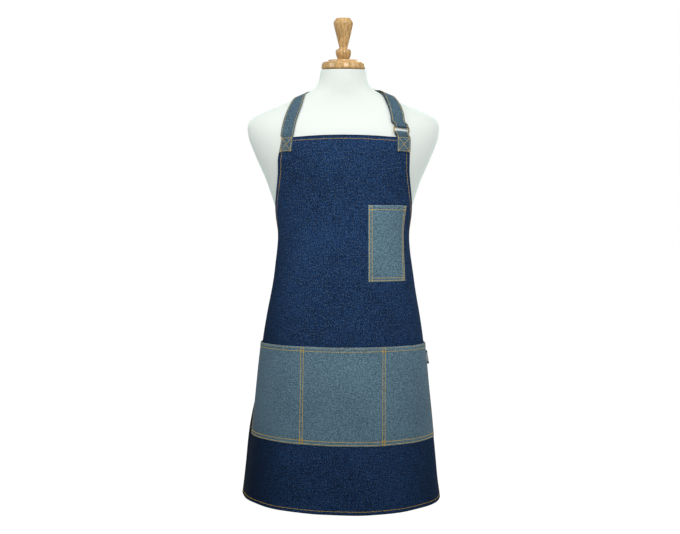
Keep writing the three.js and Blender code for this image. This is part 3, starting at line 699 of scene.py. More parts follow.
def denim(colour):
    """Indigo warp over white weft in a right-hand twill, with slubs and faded ridges, and painted shade
    along its folded edges, its sides and its bottom.
    """
    s = Surface("indigo_denim")
    u, v = s.flat_place()
    edge, inside = s.attribute("edge"), s.attribute("inside")
    warp = s.noise((u * 1100.0, v * 60.0, 0.0))
    slub = s.noise((u * 360.0, v * 34.0, 4.0))
    weft = s.noise((u * 40.0, v * 520.0, 8.0))
    speckle = s.noise((u * 430.0, v * 400.0, 2.0), roughness=0.85)
    cloud = s.noise((u * 7.0, v * 7.0, 1.0), detail=3.0)
    twill = (u + v * 0.62).waves(0.00105)
    light = speckle + slub * 0.2 + weft * 0.2 + warp * 0.1 + cloud * 0.12 + twill * 0.03 - 0.31
    light = light.between(0.38, 0.62)
    body = s.mix(light, shade_of(colour, 0.06), shade_of(colour, 2.05))
    fleck = s.noise((u * 400.0, v * 260.0, 6.0), detail=1.0)
    # Painted shade: the cloth is drawn darker towards both sides, more so on the -X side, and darker
    # towards the bottom, where the light falls off; the grey flecks thin out there too.
    sides = u.size().between(0.08, 0.30) * 0.30 + (-u).between(0.10, 0.24) * v.between(0.08, 0.30) * 0.40
    painted_shade = v.between(0.26, 0.80) * 0.30 + sides
    body = s.mix(fleck.between(0.55, 0.68) * (0.34 - painted_shade * 0.32), body, (0.13, 0.175, 0.205, 1))
    body = s.mix(painted_shade, body, shade_of(colour, 0.20))
    hem = 1 - edge.between(0.0, HEM_WIDTH + 0.001)
    pucker = (u + v).waves(0.0065) * 0.5 + 0.5
    body = s.mix(hem * pucker * 0.30, body, shade_of(colour, 2.0))
    # Painted shade: a dark band along each folded edge, where the turned hem lies in shadow.
    fold = 1 - edge.between(0.0004, 0.0050)
    body = s.mix(fold * 0.75, body, shade_of(colour, 0.30))
    weave = twill * 0.10 + speckle * 0.7 + weft * 0.2
    wrong_side = s.mix(weave, (0.085, 0.125, 0.20, 1), (0.30, 0.37, 0.46, 1))
    body = s.mix(inside.between(0.5, 0.6), body, wrong_side)
    height = twill * 0.25 + warp * 0.5 + slub * 0.6 + weft * 0.2
    return s.shade(
        Base_Color=body,
        Roughness=0.78 + speckle * 0.18,
        Normal=s.bump(height + hem * pucker * 2.4, 0.55, 0.00035),
        Sheen_Weight=0.02,
        Sheen_Roughness=0.55,
        Sheen_Tint=(0.30, 0.55, 0.95, 1),
        Specular_IOR_Level=0.04,
    )


def chambray(name, colour, pale):
    """Plain weave of blue-grey warp and pale weft, heathered by uneven yarns."""
    s = Surface(name)
    u, v = s.flat_place()
    edge = s.attribute("edge")
    warp = s.noise((u * 900.0, v * 70.0, 0.0))
    weft = s.noise((u * 70.0, v * 900.0, 5.0))
    speckle = s.noise((u * 430.0, v * 430.0, 2.0), roughness=0.85)
    fleck = s.noise((u * 210.0, v * 260.0, 9.0), roughness=0.6)
    cloud = s.noise((u * 9.0, v * 9.0, 1.0), detail=3.0)
    light = warp * 0.2 + weft * 0.2 + speckle * 0.8 + fleck * 0.35 + cloud * 0.1 - 0.325
    body = s.mix(light.between(0.39, 0.61), shade_of(colour, 0.40), shade_of(pale, 1.36))
    violet = s.noise((u * 300.0, v * 300.0, 14.0), detail=1.0).between(0.52, 0.66)
    body = s.mix(violet * 0.22, body, (0.085, 0.085, 0.200, 1))
    # Painted shade: the pocket cloth is drawn darker towards both sides, more so on the -X side, and
    # darker towards the bottom, where the light falls off.
    sides = u.size().between(0.08, 0.28) * 0.16 + (-u).between(0.06, 0.26) * 0.34
    painted_shade = v.between(0.40, 0.72) * 0.24 + sides
    body = s.mix(painted_shade, body, shade_of(colour, 0.45))
    hem = 1 - edge.between(0.0, HEM_WIDTH)
    pucker = (u + v).waves(0.006) * 0.5 + 0.5
    body = s.mix(hem * pucker * 0.16, body, shade_of(pale, 1.25))
    worn = (1 - edge.between(0.0, 0.0014)) * speckle.between(0.3, 0.7)
    body = s.mix(worn * 0.4, body, (0.42, 0.46, 0.44, 1))
    weave = u.waves(0.0009) * v.waves(0.0009)
    height = weave * 0.3 + warp * 0.5 + weft * 0.5 + hem * pucker * 2.0
    return s.shade(
        Base_Color=body,
        Roughness=0.76 + speckle * 0.16,
        Normal=s.bump(height, 0.5, 0.0003),
        Sheen_Weight=0.04,
        Sheen_Roughness=0.5,
        Specular_IOR_Level=0.15,
    )


def jersey(colour):
    """A fine off-white knit pulled smooth over the form."""
    s = Surface("white_jersey")
    u, v = s.flat_place()
    wales = u.waves(0.0013)
    courses = (v * (2 * math.pi / 0.0010) + wales.size() * 1.8).sine()
    cloud = s.noise(s.place(), scale=11.0, detail=3.0)
    fuzz = s.noise(s.place(), scale=900.0)
    body = s.mix(cloud.between(0.3, 0.7), shade_of(colour, 0.975), shade_of(colour, 1.0))
    body = s.mix(fuzz * 0.06, body, shade_of(colour, 0.86))
    return s.shade(
        Base_Color=body,
        Roughness=0.62 + fuzz * 0.12,
        Normal=s.bump(wales * 0.4 + courses * 0.4 + fuzz * 0.8, 0.12, 0.0002),
        Sheen_Weight=1.0,
        Sheen_Roughness=0.5,
        Sheen_Tint=(0.84, 1.0, 0.92, 1),
        Specular_IOR_Level=0.12,
    )


def lacquered_wood(name, colour, long_grain):
    """Honey-coloured turned wood under a clear lacquer. long_grain is how far its streaks run."""
    s = Surface(name)
    shift = (0.013, 0.021, -NECK_TOP)
    x, y, z = s.apart(s.add("ShaderNodeMapping", values={"Vector": s.place(), "Location": shift}))
    drift = s.noise((x * 22.0, y * 22.0, z * 6.0))
    rings = ((x * x + y * y) ** 0.5 * 900.0 + drift * 12.0 + z * 26.0 / long_grain).sine()
    streak = s.noise((x * 420.0, y * 420.0, z * 30.0 / long_grain), detail=4.0, roughness=0.62)
    pores = s.noise((x * 1500.0, y * 1500.0, z * 70.0 / long_grain))
    patch = s.noise((x * 34.0, y * 34.0, z * 18.0))
    tone = rings * 0.06 + streak * 0.85 + patch * 0.5 - 0.17
    body = s.mix(tone.between(0.25, 0.80), shade_of(colour, 0.50), shade_of(colour, 1.20))
    body = s.mix(pores.between(0.60, 0.74) * 0.45, body, shade_of(colour, 0.36))
    return s.shade(
        Base_Color=body,
        Roughness=0.36 + streak * 0.14,
        Normal=s.bump(streak + pores * 0.5, 0.12, 0.0002),
        Coat_Weight=0.5,
        Coat_Roughness=0.07,
        Specular_IOR_Level=0.25,
    )


def bare_plywood():
    """The form's board: pale, with the layers showing at its edge."""
    s = Surface("birch_plywood")
    x, y, z = s.apart(s.place())
    layers = z.waves(0.003).between(-0.4, 0.4)
    grain = s.noise((x * 18.0, y * 240.0, z * 240.0), detail=3.0)
    body = s.mix(layers * 0.4 + grain * 0.5, (0.36, 0.24, 0.13, 1), (0.66, 0.52, 0.34, 1))
    return s.shade(Base_Color=body, Roughness=0.6 + grain * 0.2, Normal=s.bump(grain, 0.2, 0.0003))


def aged_brass(colour):
    """Brass that has gone brown in its low places and stays bright on its worn ones."""
    s = Surface("aged_brass")
    place = s.place()
    patch = s.noise(place, scale=160.0, detail=4.0, roughness=0.65)
    fine = s.noise(place, scale=1400.0)
    body = s.mix(patch.between(0.35, 0.68), shade_of(colour, 0.42), shade_of(colour, 1.25))
    return s.shade(
        Base_Color=body,
        Metallic=0.95,
        Roughness=0.26 + patch * 0.22,
        Normal=s.bump(patch + fine * 0.3, 0.18, 0.0002),
    )


def brushed_steel(name, colour, lengthwise):
    """Steel with fine drawn lines, round its axis or along it."""
    s = Surface(name)
    x, y, z = s.apart(s.place())
    scale = (2600.0, 30.0) if lengthwise else (60.0, 2600.0)
    lines = s.noise((x * scale[0], y * scale[0], z * scale[1]))
    smear = s.noise(s.place(), scale=30.0, detail=3.0)
    return s.shade(
        Base_Color=s.mix(lines, shade_of(colour, 0.82), shade_of(colour, 1.1)),
        Metallic=0.96,
        Roughness=0.22 + smear * 0.16 + lines * 0.06,
        Normal=s.bump(lines, 0.08, 0.0001),
    )


def powder_coat(colour):
    """Black powder coat: a fine orange peel, with dust and a little wear."""
    s = Surface("black_powder_coat")
    peel = s.noise(s.place(), scale=900.0)
    dust = s.noise(s.place(), scale=24.0, detail=4.0, roughness=0.7)
    return s.shade(
        Base_Color=s.mix(dust.between(0.45, 0.8) * 0.35, shade_of(colour, 1.0), (0.11, 0.11, 0.115, 1)),
        Roughness=0.42 + dust * 0.2,
        Normal=s.bump(peel, 0.25, 0.0003),
        Specular_IOR_Level=0.45,
    )


def moulded(name, colour, roughness):
    """Moulded plastic or rubber with a fine spark-eroded grain."""
    s = Surface(name)
    grain = s.noise(s.place(), scale=1100.0)
    scuff = s.noise(s.place(), scale=40.0, detail=4.0, roughness=0.7)
    return s.shade(
        Base_Color=s.mix(scuff.between(0.4, 0.8) * 0.3, shade_of(colour, 0.9), shade_of(colour, 1.5)),
        Roughness=roughness + scuff * 0.15,
        Normal=s.bump(grain, 0.2, 0.0002),
    )


def sewing_thread(name, colour):
    """Twisted thread with a low gloss."""
    s = Surface(name)
    place = s.place()
    twist = s.noise(place, scale=2600.0, detail=1.0)
    uneven = s.noise(place, scale=60.0)
    body = s.mix(uneven * 0.6 + twist * 0.4, shade_of(colour, 0.80), shade_of(colour, 1.25))
    return s.shade(Base_Color=body, Roughness=0.6 + twist * 0.2, Specular_IOR_Level=0.15)


def woven_label():
    """A blank damask label: dark ends and a grey middle."""
    s = Surface("woven_label")
    u, v = s.flat_place()
    middle_line = WAIST_POCKET["top"] + LABEL_DROP + LABEL[1] / 2
    ends = (v - middle_line).size().between(0.0095, 0.0105)
    weave = (u * 9000.0).sine() * (v * 9000.0).sine() * 0.5 + 0.5
    grain = s.noise((u * 1200.0, v * 300.0, 0.0))
    middle = s.mix(grain, (0.15, 0.16, 0.16, 1), (0.33, 0.34, 0.33, 1))
    body = s.mix(ends, middle, (0.012, 0.013, 0.016, 1))
    return s.shade(Base_Color=body, Roughness=0.7 + grain * 0.1, Normal=s.bump(weave, 0.4, 0.0002))


def stage_floor(colour, glow):
    """A pale floor that looks nearly white and still takes a soft shadow."""
    s = Surface("pale_floor")
    seen = s.add("ShaderNodeLightPath")
    diffuse = s.add("ShaderNodeBsdfDiffuse", values={"Color": rgb(colour), "Roughness": 0.6})
    light = s.add("ShaderNodeEmission", values={"Color": (1, 1, 1, 1), "Strength": 1.12})
    mixed = s.add("ShaderNodeMixShader", values=[seen * glow, diffuse, light])
    s.add("ShaderNodeOutputMaterial", values=[mixed])
    return s.material


MATERIALS = {}


def material(name):
    """A material by name, made once from the scene's settings."""
    look = bpy.context.scene.apron_look
    makers = {
        "denim": lambda: denim(look.denim),
        "chambray": lambda: chambray("blue_chambray", look.chambray, look.chambray_pale),
        "strap": lambda: chambray("strap_chambray", look.strap, look.strap_pale),
        "jersey": lambda: jersey(look.jersey),
        "cap_wood": lambda: lacquered_wood("cap_wood", look.wood, 0.35),
        "finial_wood": lambda: lacquered_wood("finial_wood", look.wood, 1.6),
        "plywood": bare_plywood,
        "brass": lambda: aged_brass(look.brass),
        "steel": lambda: brushed_steel("turned_steel", (0.62, 0.63, 0.65), False),
        "drawn_steel": lambda: brushed_steel("drawn_steel", (0.64, 0.65, 0.67), True),
        "powder_coat": lambda: powder_coat((0.018, 0.018, 0.020)),
        "plastic": lambda: moulded("black_plastic", (0.022, 0.022, 0.024), 0.45),
        "nylon": lambda: moulded("natural_nylon", (0.62, 0.60, 0.54), 0.4),
        "rubber": lambda: moulded("black_rubber", (0.02, 0.02, 0.02), 0.75),
        "shell": lambda: moulded("glass_fibre", (0.60, 0.57, 0.48), 0.5),
        "thread": lambda: sewing_thread("orange_thread", look.thread),
        "label": woven_label,
    }
    if name not in MATERIALS:
        MATERIALS[name] = makers[name]()
    return MATERIALS[name]


# ------------------------------------------------------------------ stitches, by geometry nodes


def node_tree(name, sizes):
    """An empty geometry tree with named inputs, and its Graph and inputs."""
    tree = bpy.data.node_groups.new(name, "GeometryNodeTree")
    face = tree.interface
    face.new_socket("Geometry", in_out="INPUT", socket_type="NodeSocketGeometry")
    for size, default in sizes.items():
        kind = "NodeSocketInt" if isinstance(default, int) else "NodeSocketFloat"
        face.new_socket(size, in_out="INPUT", socket_type=kind).default_value = default
    face.new_socket("Material", in_out="INPUT", socket_type="NodeSocketMaterial")
    face.new_socket("Geometry", in_out="OUTPUT", socket_type="NodeSocketGeometry")
    graph = Graph(tree)
    source = tree.nodes.new("NodeGroupInput")
    inputs = {o.name: Value(graph, o) for o in source.outputs if o.name}
    return tree, graph, inputs


def stitch_tree():
    """Lays one stitch after another along a rail, facing out of the cloth."""
    sizes = {"Pitch": 0.0034, "Length": 0.0029, "Thread": 0.0009, "Seed": 7}
    tree, g, inputs = node_tree("stitches", sizes)
    curve = g.add("GeometryNodeMeshToCurve", values=[inputs["Geometry"]])
    values = {"Curve": curve, "Length": inputs["Pitch"]}
    steps = g.add("GeometryNodeResampleCurve", {"mode": "LENGTH"}, values)
    ball = g.add("GeometryNodeMeshUVSphere", values={"Segments": 6, "Rings": 5, "Radius": 0.5})
    width = inputs["Thread"]
    size = g.add("ShaderNodeCombineXYZ", values=[inputs["Length"], width, width * 0.8])
    stitch = g.add("GeometryNodeTransform", values={"Geometry": ball, "Scale": size})
    facing = g.add("GeometryNodeInputNamedAttribute", {"data_type": "FLOAT_VECTOR"}, {"Name": "facing"})
    tangent = g.add("GeometryNodeInputTangent")
    turned = g.add("FunctionNodeAlignRotationToVector", {"axis": "X"}, {"Vector": tangent})
    settings, values = {"axis": "Z", "pivot_axis": "X"}, {"Rotation": turned, "Vector": facing}
    upright = g.add("FunctionNodeAlignRotationToVector", settings, values)
    random_size = g.add(
        "FunctionNodeRandomValue",
        {"data_type": "FLOAT_VECTOR"},
        {"Min": (0.9, 0.88, 0.85), "Max": (1.06, 1.12, 1.1), "Seed": inputs["Seed"]},
    )
    values = {"Points": steps, "Instance": stitch, "Rotation": upright, "Scale": random_size}
    rows = g.add("GeometryNodeInstanceOnPoints", values=values)
    finish_tree(g, rows, inputs)
    return tree


def satin_tree():
    """Winds a thread tightly along a zigzag rail, as a bar tack does."""
    tree, g, inputs = node_tree("bar_tacks", {"Thread": 0.0009})
    curve = g.add("GeometryNodeMeshToCurve", values=[inputs["Geometry"]])
    values = {"Resolution": 6, "Radius": inputs["Thread"] * 0.5}
    section = g.add("GeometryNodeCurvePrimitiveCircle", values=values)
    values = {"Curve": curve, "Profile Curve": section, "Fill Caps": True}
    thread = g.add("GeometryNodeCurveToMesh", values=values)
    finish_tree(g, thread, inputs)
    return tree


def finish_tree(graph, geometry, inputs):
    """Ends a tree with Realize Instances and Set Material."""
    real = graph.add("GeometryNodeRealizeInstances", values=[geometry])
    values = {"Geometry": real, "Material": inputs["Material"]}
    painted = graph.add("GeometryNodeSetMaterial", values=values)
    graph.add("NodeGroupOutput", values=[painted])


def rails_mesh(name, rails):
    """One mesh of edges from lines of (points, normals)."""
    points, facing, edges = [], [], []
    for line, normals in rails:
        start = len(points)
        points += line.tolist()
        facing += normals.tolist()
        edges += [(start + k, start + k + 1) for k in range(len(line) - 1)]
    mesh = bpy.data.meshes.new(name)
    mesh.from_pydata(points, edges, [])
    layer = mesh.attributes.new("facing", "FLOAT_VECTOR", "POINT")
    layer.data.foreach_set("vector", np.array(facing, np.float32).ravel())
    return mesh


def grow(name, rails, tree, **sizes):
    """Runs a tree on rails, and returns the plain mesh object that it makes."""
    source = add_object(name + "_rails", rails_mesh(name + "_rails", rails))
    modifier = source.modifiers.new("grow", "NODES")
    modifier.node_group = tree
    wanted = {key.replace("_", " "): value for key, value in sizes.items()}
    for item in tree.interface.items_tree:
        if item.in_out == "INPUT" and item.name in wanted:
            modifier[item.identifier] = wanted[item.name]
    evaluated = source.evaluated_get(bpy.context.evaluated_depsgraph_get())
    mesh = bpy.data.meshes.new_from_object(evaluated)
    mesh.name = name
    source.modifiers.remove(modifier)
    bpy.data.objects.remove(source)
    mesh.shade_smooth()
    return add_object(name, mesh)


def sew(name, rails, fineness=1.0):
    """Topstitching along rails, in thread whose width is that share of the usual one."""
    thread = bpy.context.scene.apron_thread
    sizes = {"Pitch": thread.pitch, "Length": thread.pitch * 0.86, "Thread": thread.width * fineness}
    tree = bpy.data.node_groups.get("stitches") or stitch_tree()
    rows = grow(name, rails, tree, Material=material("thread"), Seed=thread.seed, **sizes)
    return rows


def tack(name, rails):
    """Bar tacks along zigzag rails."""
    width = bpy.context.scene.apron_thread.width
    tree = bpy.data.node_groups.get("bar_tacks") or satin_tree()
    return grow(name, rails, tree, Material=material("thread"), Thread=width)


def on_cloth(place, u, v):
    """Flat places as points and normals of the surface that place(u, v, off) gives."""
    points = place(u, v, 0.0)
    return points, unit(place(u, v, 0.001) - points)


def rail_on(place, us, vs):
    """A rail through flat places."""
    step = 0.004
    us, vs = np.asarray(us, float), np.asarray(vs, float)
    length = np.concatenate([[0], np.cumsum(np.hypot(np.diff(us), np.diff(vs)))])
    count = max(2, int(round(length[-1] / step)) + 1)
    wanted = np.linspace(0, length[-1], count)
    return on_cloth(place, np.interp(wanted, length, us), np.interp(wanted, length, vs))


def zigzag(place, start, end, width=0.0022):
    """A bar tack's rail between two flat places."""
    step = 0.00055
    start, end = np.array(start, float), np.array(end, float)
    along = end - start
    count = max(4, int(np.linalg.norm(along) / step))
    side = np.array([-along[1], along[0]]) / np.linalg.norm(along) * width / 2
    share = np.linspace(0, 1, count)[:, None]
    sign = np.where(np.arange(count) % 2 == 0, 1, -1)[:, None]
    return on_cloth(place, *(start + along * share + side * sign).T)


# ------------------------------------------------------------------ apron


def fine_lines(breaks, step):
    """Grid lines from a rising list of places, filled in evenly to about a step."""
    lines = []
    for a, b in zip(breaks[:-1], breaks[1:]):
        count = max(1, int(round((b - a) / step)))
        lines += list(np.linspace(a, b, count, endpoint=False))
    return np.array(lines + [breaks[-1]])


def hem_thickness(edge, plain, extra):
    """Cloth thickness, with a turned hem along its edge and the dimple that its stitches pull."""
    turned = 1 - smoothstep(edge, HEM_WIDTH - 0.0012, HEM_WIDTH + 0.0012)
    dimple = np.exp(-(((edge - HEM_WIDTH + 0.002) / 0.0011) ** 2))
    return plain + extra * turned - 0.45 * extra * dimple


def panel_edge(u, v):
    """About how far a place on the panel is from its nearest edge."""
    slope = np.gradient(half_width(np.linspace(0, ARMHOLE_DEPTH, 400)), ARMHOLE_DEPTH / 399)
    lean = np.interp(np.minimum(v, ARMHOLE_DEPTH), np.linspace(0, ARMHOLE_DEPTH, 400), slope)
    side = (half_width(v) - np.abs(u)) / np.hypot(1, np.where(v < ARMHOLE_DEPTH, lean, 0))
    return np.minimum(np.minimum(side, v), APRON_LENGTH - v)


def panel_place(side):
    """The panel's surface on its right side (1) or wrong side (-1)."""

    def place(u, v, off):
        edge = panel_edge(u, v)
        thick = hem_thickness(np.maximum(edge, 0), PANEL, HEM_EXTRA)
        return hang(u, v, side * (thick / 2 + THREAD_SEAT + off))

    return place


def make_panel():
    """The denim panel, with its hems turned in."""
    inset = [0, 0.0008, 0.003, 0.006, 0.0078, 0.009, 0.0102, 0.012]
    shares = [x / BIB_WIDTH for x in inset] + [1.0]
    side = fine_lines(shares, 0.022)
    across = np.concatenate([-(1 - side), (1 - side[:-1])[::-1]])
    armhole = ARMHOLE_DEPTH * np.sin(np.linspace(0, np.pi / 2, 66))
    down = np.concatenate(
        [
            inset,
            armhole[(armhole > 0.0145) & (armhole < ARMHOLE_DEPTH - 1e-6)],
            fine_lines([ARMHOLE_DEPTH, APRON_LENGTH - 0.012], 0.006),
            APRON_LENGTH - np.array(inset)[::-1][1:],
        ]
    )
    v = np.broadcast_to(down[:, None], (len(down), len(across)))
    u = across * half_width(v)
    edge = panel_edge(u, v)
    thick = hem_thickness(edge, PANEL, HEM_EXTRA)
    normals = hung_normals(u, v, lambda x, y: 0.0)
    mesh = cloth_mesh("denim_panel", hang(u, v), np.stack([u, v], -1), thick, edge, normals=normals)
    panel = finished("denim_panel", mesh, "denim", "form", "apron_panel")
    flat_area = 2 * float(half_width(np.linspace(0, APRON_LENGTH, 2000)).mean()) * APRON_LENGTH
    stitches = make_panel_stitches()


def make_panel_stitches():
    """Topstitching round the panel: one line inside each hem."""
    inset = HEM_WIDTH - 0.002
    low = np.linspace(0.0, ARMHOLE_DEPTH, 160)
    rails = []
    for face in (1, -1):
        place = panel_place(face)
        top_end = half_width(inset) - inset
        rails.append(rail_on(place, [-top_end, top_end], [inset, inset]))
        low_end = SIDE_WIDTH - inset
        rails.append(rail_on(place, [-low_end, low_end], [APRON_LENGTH - inset] * 2))
        for side in (1, -1):
            lean = np.gradient(half_width(low), low)
            u = half_width(low) - inset / np.hypot(1, lean)
            v = low + inset * lean / np.hypot(1, lean)
            keep = (v > inset) & (u < SIDE_WIDTH - inset)
            rails.append(rail_on(place, side * u[keep], v[keep]))
            down = [ARMHOLE_DEPTH + inset, APRON_LENGTH - inset]
            rails.append(rail_on(place, [side * (SIDE_WIDTH - inset)] * 2, down))
    return [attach(sew("panel_stitches", rails, PANEL_THREAD), "form")]


def pocket_grid(left, right, top, bottom, seams, step):
    """Grid lines for a pocket: fine at its edges and at its seams."""
    inset = [0, 0.0007, 0.0025, 0.0045, 0.0065, 0.0078, 0.009, 0.0102, 0.012]
    breaks = [left + x for x in inset] + [right - x for x in inset[::-1]]
    for seam in seams:
        breaks += [seam - 0.006, seam - 0.003, seam, seam + 0.003, seam + 0.006]
    across = fine_lines(sorted(breaks), step)
    down = fine_lines([top + x for x in inset] + [bottom - x for x in inset[::-1]], step)
    return np.meshgrid(across, down)


def pocket_piece(node, u, v, off_at):
    """A pocket's cloth on the panel, over a grid that ends at the pocket's edges."""
    top = v.min()
    edge = np.minimum(np.minimum(u - u.min(), u.max() - u), np.minimum(v - top, v.max() - v))
    turned = POCKET_TURN * (1 - smoothstep(edge, 0.006, 0.008))
    thick = hem_thickness(v - top, POCKET_CLOTH, POCKET_HEM) + turned
    name, normals = node + "_cloth", hung_normals(u, v, off_at)
    mesh = cloth_mesh(name, hang(u, v, off_at(u, v)), np.stack([u, v], -1), thick, edge, normals=normals)
    return finished(name, mesh, "chambray", "form", node)


def sew_pocket(node, flat, rails, tacks):
    """Sews a pocket to the panel."""
    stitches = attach(sew(node + "_stitches", rails), "form")
    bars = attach(tack(node + "_bar_tacks", tacks), "form")


def pocket_place(off_at):
    """A pocket's outer surface."""

    def place(u, v, off):
        return hang(u, v, off_at(u, v) + POCKET_CLOTH / 2 + THREAD_SEAT * 2 + off)

    return place


def make_waist_pocket():
    """The wide pocket, its three compartments, and the label in its seam."""
    half, top = WAIST_POCKET["half"], WAIST_POCKET["top"]
    bottom = top + WAIST_POCKET["height"]
    divider = WAIST_POCKET["divider"]
    seams = [-divider, divider]
    u, v = pocket_grid(-half, half, top, bottom, seams, 0.007)
    pocket = pocket_piece("waist_pocket", u, v, waist_pocket_off)
    place = pocket_place(waist_pocket_off)
    edge, inner, gap = EDGE_STITCH, 0.009, 0.003
    levels = (top + edge, top + inner, bottom - edge, bottom - inner)
    rails = [rail_on(place, [-half + edge, half - edge], [level] * 2) for level in levels]
    tacks = []
    for side in (-1, 1):
        rails.append(rail_on(place, [side * (half - edge)] * 2, [top + edge, bottom - edge]))
        for seam in (side * divider - gap, side * divider + gap):
            rails.append(rail_on(place, [seam, seam], [top + edge, bottom - edge]))
            tacks.append(zigzag(place, (seam, top + 0.001), (seam, top + 0.012)))
            tacks.append(zigzag(place, (seam, bottom - 0.013), (seam, bottom - 0.002)))
    sew_pocket("waist_pocket", (2 * half, WAIST_POCKET["height"]), rails, tacks)
    make_label()


def make_label():
    """The folded label that stands out from the pocket's side seam."""
    width, length = LABEL
    past = np.linspace(0.0008, width + 0.0005, 8)
    down = WAIST_POCKET["top"] + LABEL_DROP + np.linspace(0, length, 16)
    past, v = np.meshgrid(past, down)
    u = WAIST_POCKET["half"] + past
    middle = hang(u - 0.45 * past, v, pocket_seat() + 0.85 * past)
    mesh = cloth_mesh("side_label_cloth", middle, np.stack([u, v], -1), 0.0011)
    label = finished("side_label_cloth", mesh, "label", "form", "side_label")


def make_chest_pocket():
    """The narrow pocket on the wearer's left."""
    left, top = CHEST_POCKET["left"], CHEST_POCKET["top"]
    right, bottom = left + CHEST_POCKET["width"], top + CHEST_POCKET["height"]
    u, v = pocket_grid(left, right, top, bottom, [], 0.006)
    pocket = pocket_piece("chest_pocket", u, v, chest_pocket_off)
    place = pocket_place(chest_pocket_off)
    edge, inner = EDGE_STITCH, 0.008
    rails = [
        rail_on(place, [left + edge, right - edge], [top + 0.009] * 2),
        rail_on(place, [left + edge, right - edge], [bottom - edge] * 2),
        rail_on(place, [left + inner, right - inner], [bottom - inner] * 2),
    ]
    for seam in (left + edge, left + inner, right - inner, right - edge):
        rails.append(rail_on(place, [seam, seam], [top + 0.002, bottom - edge]))
    tacks = []
    for corner in (left + 0.005, right - 0.005):
        for v, width in ((top + 0.0018, 0.0022), (top + 0.009, 0.0016)):
            tacks.append(zigzag(place, (corner - 0.0035, v), (corner + 0.0035, v), width))
    sew_pocket("chest_pocket", (CHEST_POCKET["width"], CHEST_POCKET["height"]), rails, tacks)


# ------------------------------------------------------------------ neck strap, ring and adjuster


def ring_frame():
    """The ring's middle, and the directions up the strap, off the chest and along its bars."""
    middle = settle(np.array(RING_PLACE), RETURN_CLEAR + FOLD)
    out = torso_distance(middle)[0]
    up = np.array([0.104, 0.0, 1.0])
    rise = unit(up - out * (up @ out))
    return middle, rise, out, np.cross(rise, out)


RING_MIDDLE, RING_RISE, RING_OUT, RING_SIDE = ring_frame()
SLIDER_OUT = np.array([math.sin(SLIDER["turn"]), math.cos(SLIDER["turn"]), 0.0])
SLIDER_ALONG = np.array([SLIDER_OUT[1], -SLIDER_OUT[0], 0.0])
UP = np.array([0.0, 0.0, 1.0])


def on_neck_arc(turn, off=0.0):
    """A point of the strap's curve behind the neck; turn is from the middle of the back towards +X."""
    r = NECK_ARC["radius"] + off
    return np.array([r * math.sin(turn), NECK_ARC["middle"] + r * math.cos(turn), NECK_ARC["height"]])


def by_ring(up, out):
    """A place up the strap and off the chest from the ring's middle."""
    return RING_MIDDLE + RING_RISE * up + RING_OUT * out


def by_slider(x, y):
    """A place along the strap and out from the neck, from where the adjuster sits."""
    return on_neck_arc(SLIDER["turn"]) + SLIDER_ALONG * x + SLIDER_OUT * y


HALF_LINES = [0.18, 0.36, 0.42, 0.46, 0.485, 0.5]
RIBBON_LINES = np.array([-x for x in HALF_LINES[::-1]] + [0.0] + HALF_LINES)


def ribbon_row(point, across, width, clearance=None):
    """One row of a ribbon's middle points."""
    row = point + across * (RIBBON_LINES * width)[:, None]
    return row if clearance is None else settle(row, clearance, only_out=True)


def box_rows(side, off):
    """Rows of webbing sewn on a bib corner, from the box's lower edge up past the bib's top edge."""
    rows = []
    for v in np.linspace(BOX_HEIGHT, 0, 14):
        rows.append(hang(side * BOX_MIDDLE + RIBBON_LINES * STRAP_WIDTH, v, off))
    rows.append(rows[-1] + np.array([0, 0.001, 0.0025]))
    return rows


def over_shoulder(side, clearance, off):
    """Rows over a shoulder, upwards from the bib, that end `off` the curve behind the neck."""
    route = [np.array(p) for p in SHOULDER_ROUTE]
    route += [on_neck_arc(math.radians(d), off) for d in (44, 40)]
    route = np.array(route) * (side, 1, 1)
    if side > 0:
        route[1:5, 0] += RING_SIDE_SWELL
    share = np.linspace(0, 1, 40)
    raw = smooth_path(route, share)
    free = smoothstep(share, 0.72, 0.95)[:, None]
    points = settle(raw, clearance) * (1 - free) + raw * free
    normal = torso_distance(points)[0]
    level = unit((raw - np.array([0, NECK_ARC["middle"], 0])) * (1, 1, 0))
    facing = unit(normal * (1 - free) + level * free)
    tangent = unit(np.gradient(raw, axis=0))
    across = unit(np.cross(tangent, facing)) * -side
    return [ribbon_row(p, a, STRAP_WIDTH, clearance - SLACK) for p, a in zip(points, across)]


def round_bar(bar, towards, across):
    """Rows of webbing half round a bar of the ring, from the front to the back."""
    places = [(bar - towards * 0.0045, FOLD)]
    for turn in np.linspace(0, np.pi, 13):
        places.append((bar + towards * FOLD * math.sin(turn), FOLD * math.cos(turn)))
    places.append((bar - towards * 0.0045, -FOLD))
    return [ribbon_row(by_ring(*p), across, STRAP_WIDTH) for p in places]


def relax(rows, share):
    """Moves each row that share of the way to the middle of its neighbours."""
    rows[1:-1] += ((rows[2:] + rows[:-2]) / 2 - rows[1:-1]) * share


def even_rows(rows, step, eased=(), clearance=None):
    """Rows again at even spacing along a curve through them, and the distance along. Each stretch in
    `eased`, a row's number and the lengths before and after it, is drawn out into an easy curve."""
    rows = np.array(rows)
    length = lengths_along(rows[:, rows.shape[1] // 2])
    fine = np.arange(0, length[-1], step)
    fine = np.append(fine, length[-1])
    again = np.empty((len(fine), rows.shape[1], 3))
    for c in range(rows.shape[1]):
        for k in range(3):
            again[:, c, k] = np.interp(fine, length, rows[:, c, k])
    for _ in range(2):
        relax(again, 0.5)
    for row, before, after in eased:
        inside = (fine > length[row] - before) & (fine < length[row] + after)
        share = np.where(inside[1:-1], 0.5, 0.0)[:, None, None]
        for _ in range(60):
            relax(again, share)
        spine = again[inside][:, rows.shape[1] // 2]
        across = unit(again[inside][:, -1] - again[inside][:, 0])
        drawn = spine[:, None] + across[:, None] * (RIBBON_LINES * STRAP_WIDTH)[:, None]
        again[inside] = settle(drawn, clearance, only_out=True)
    return again, fine


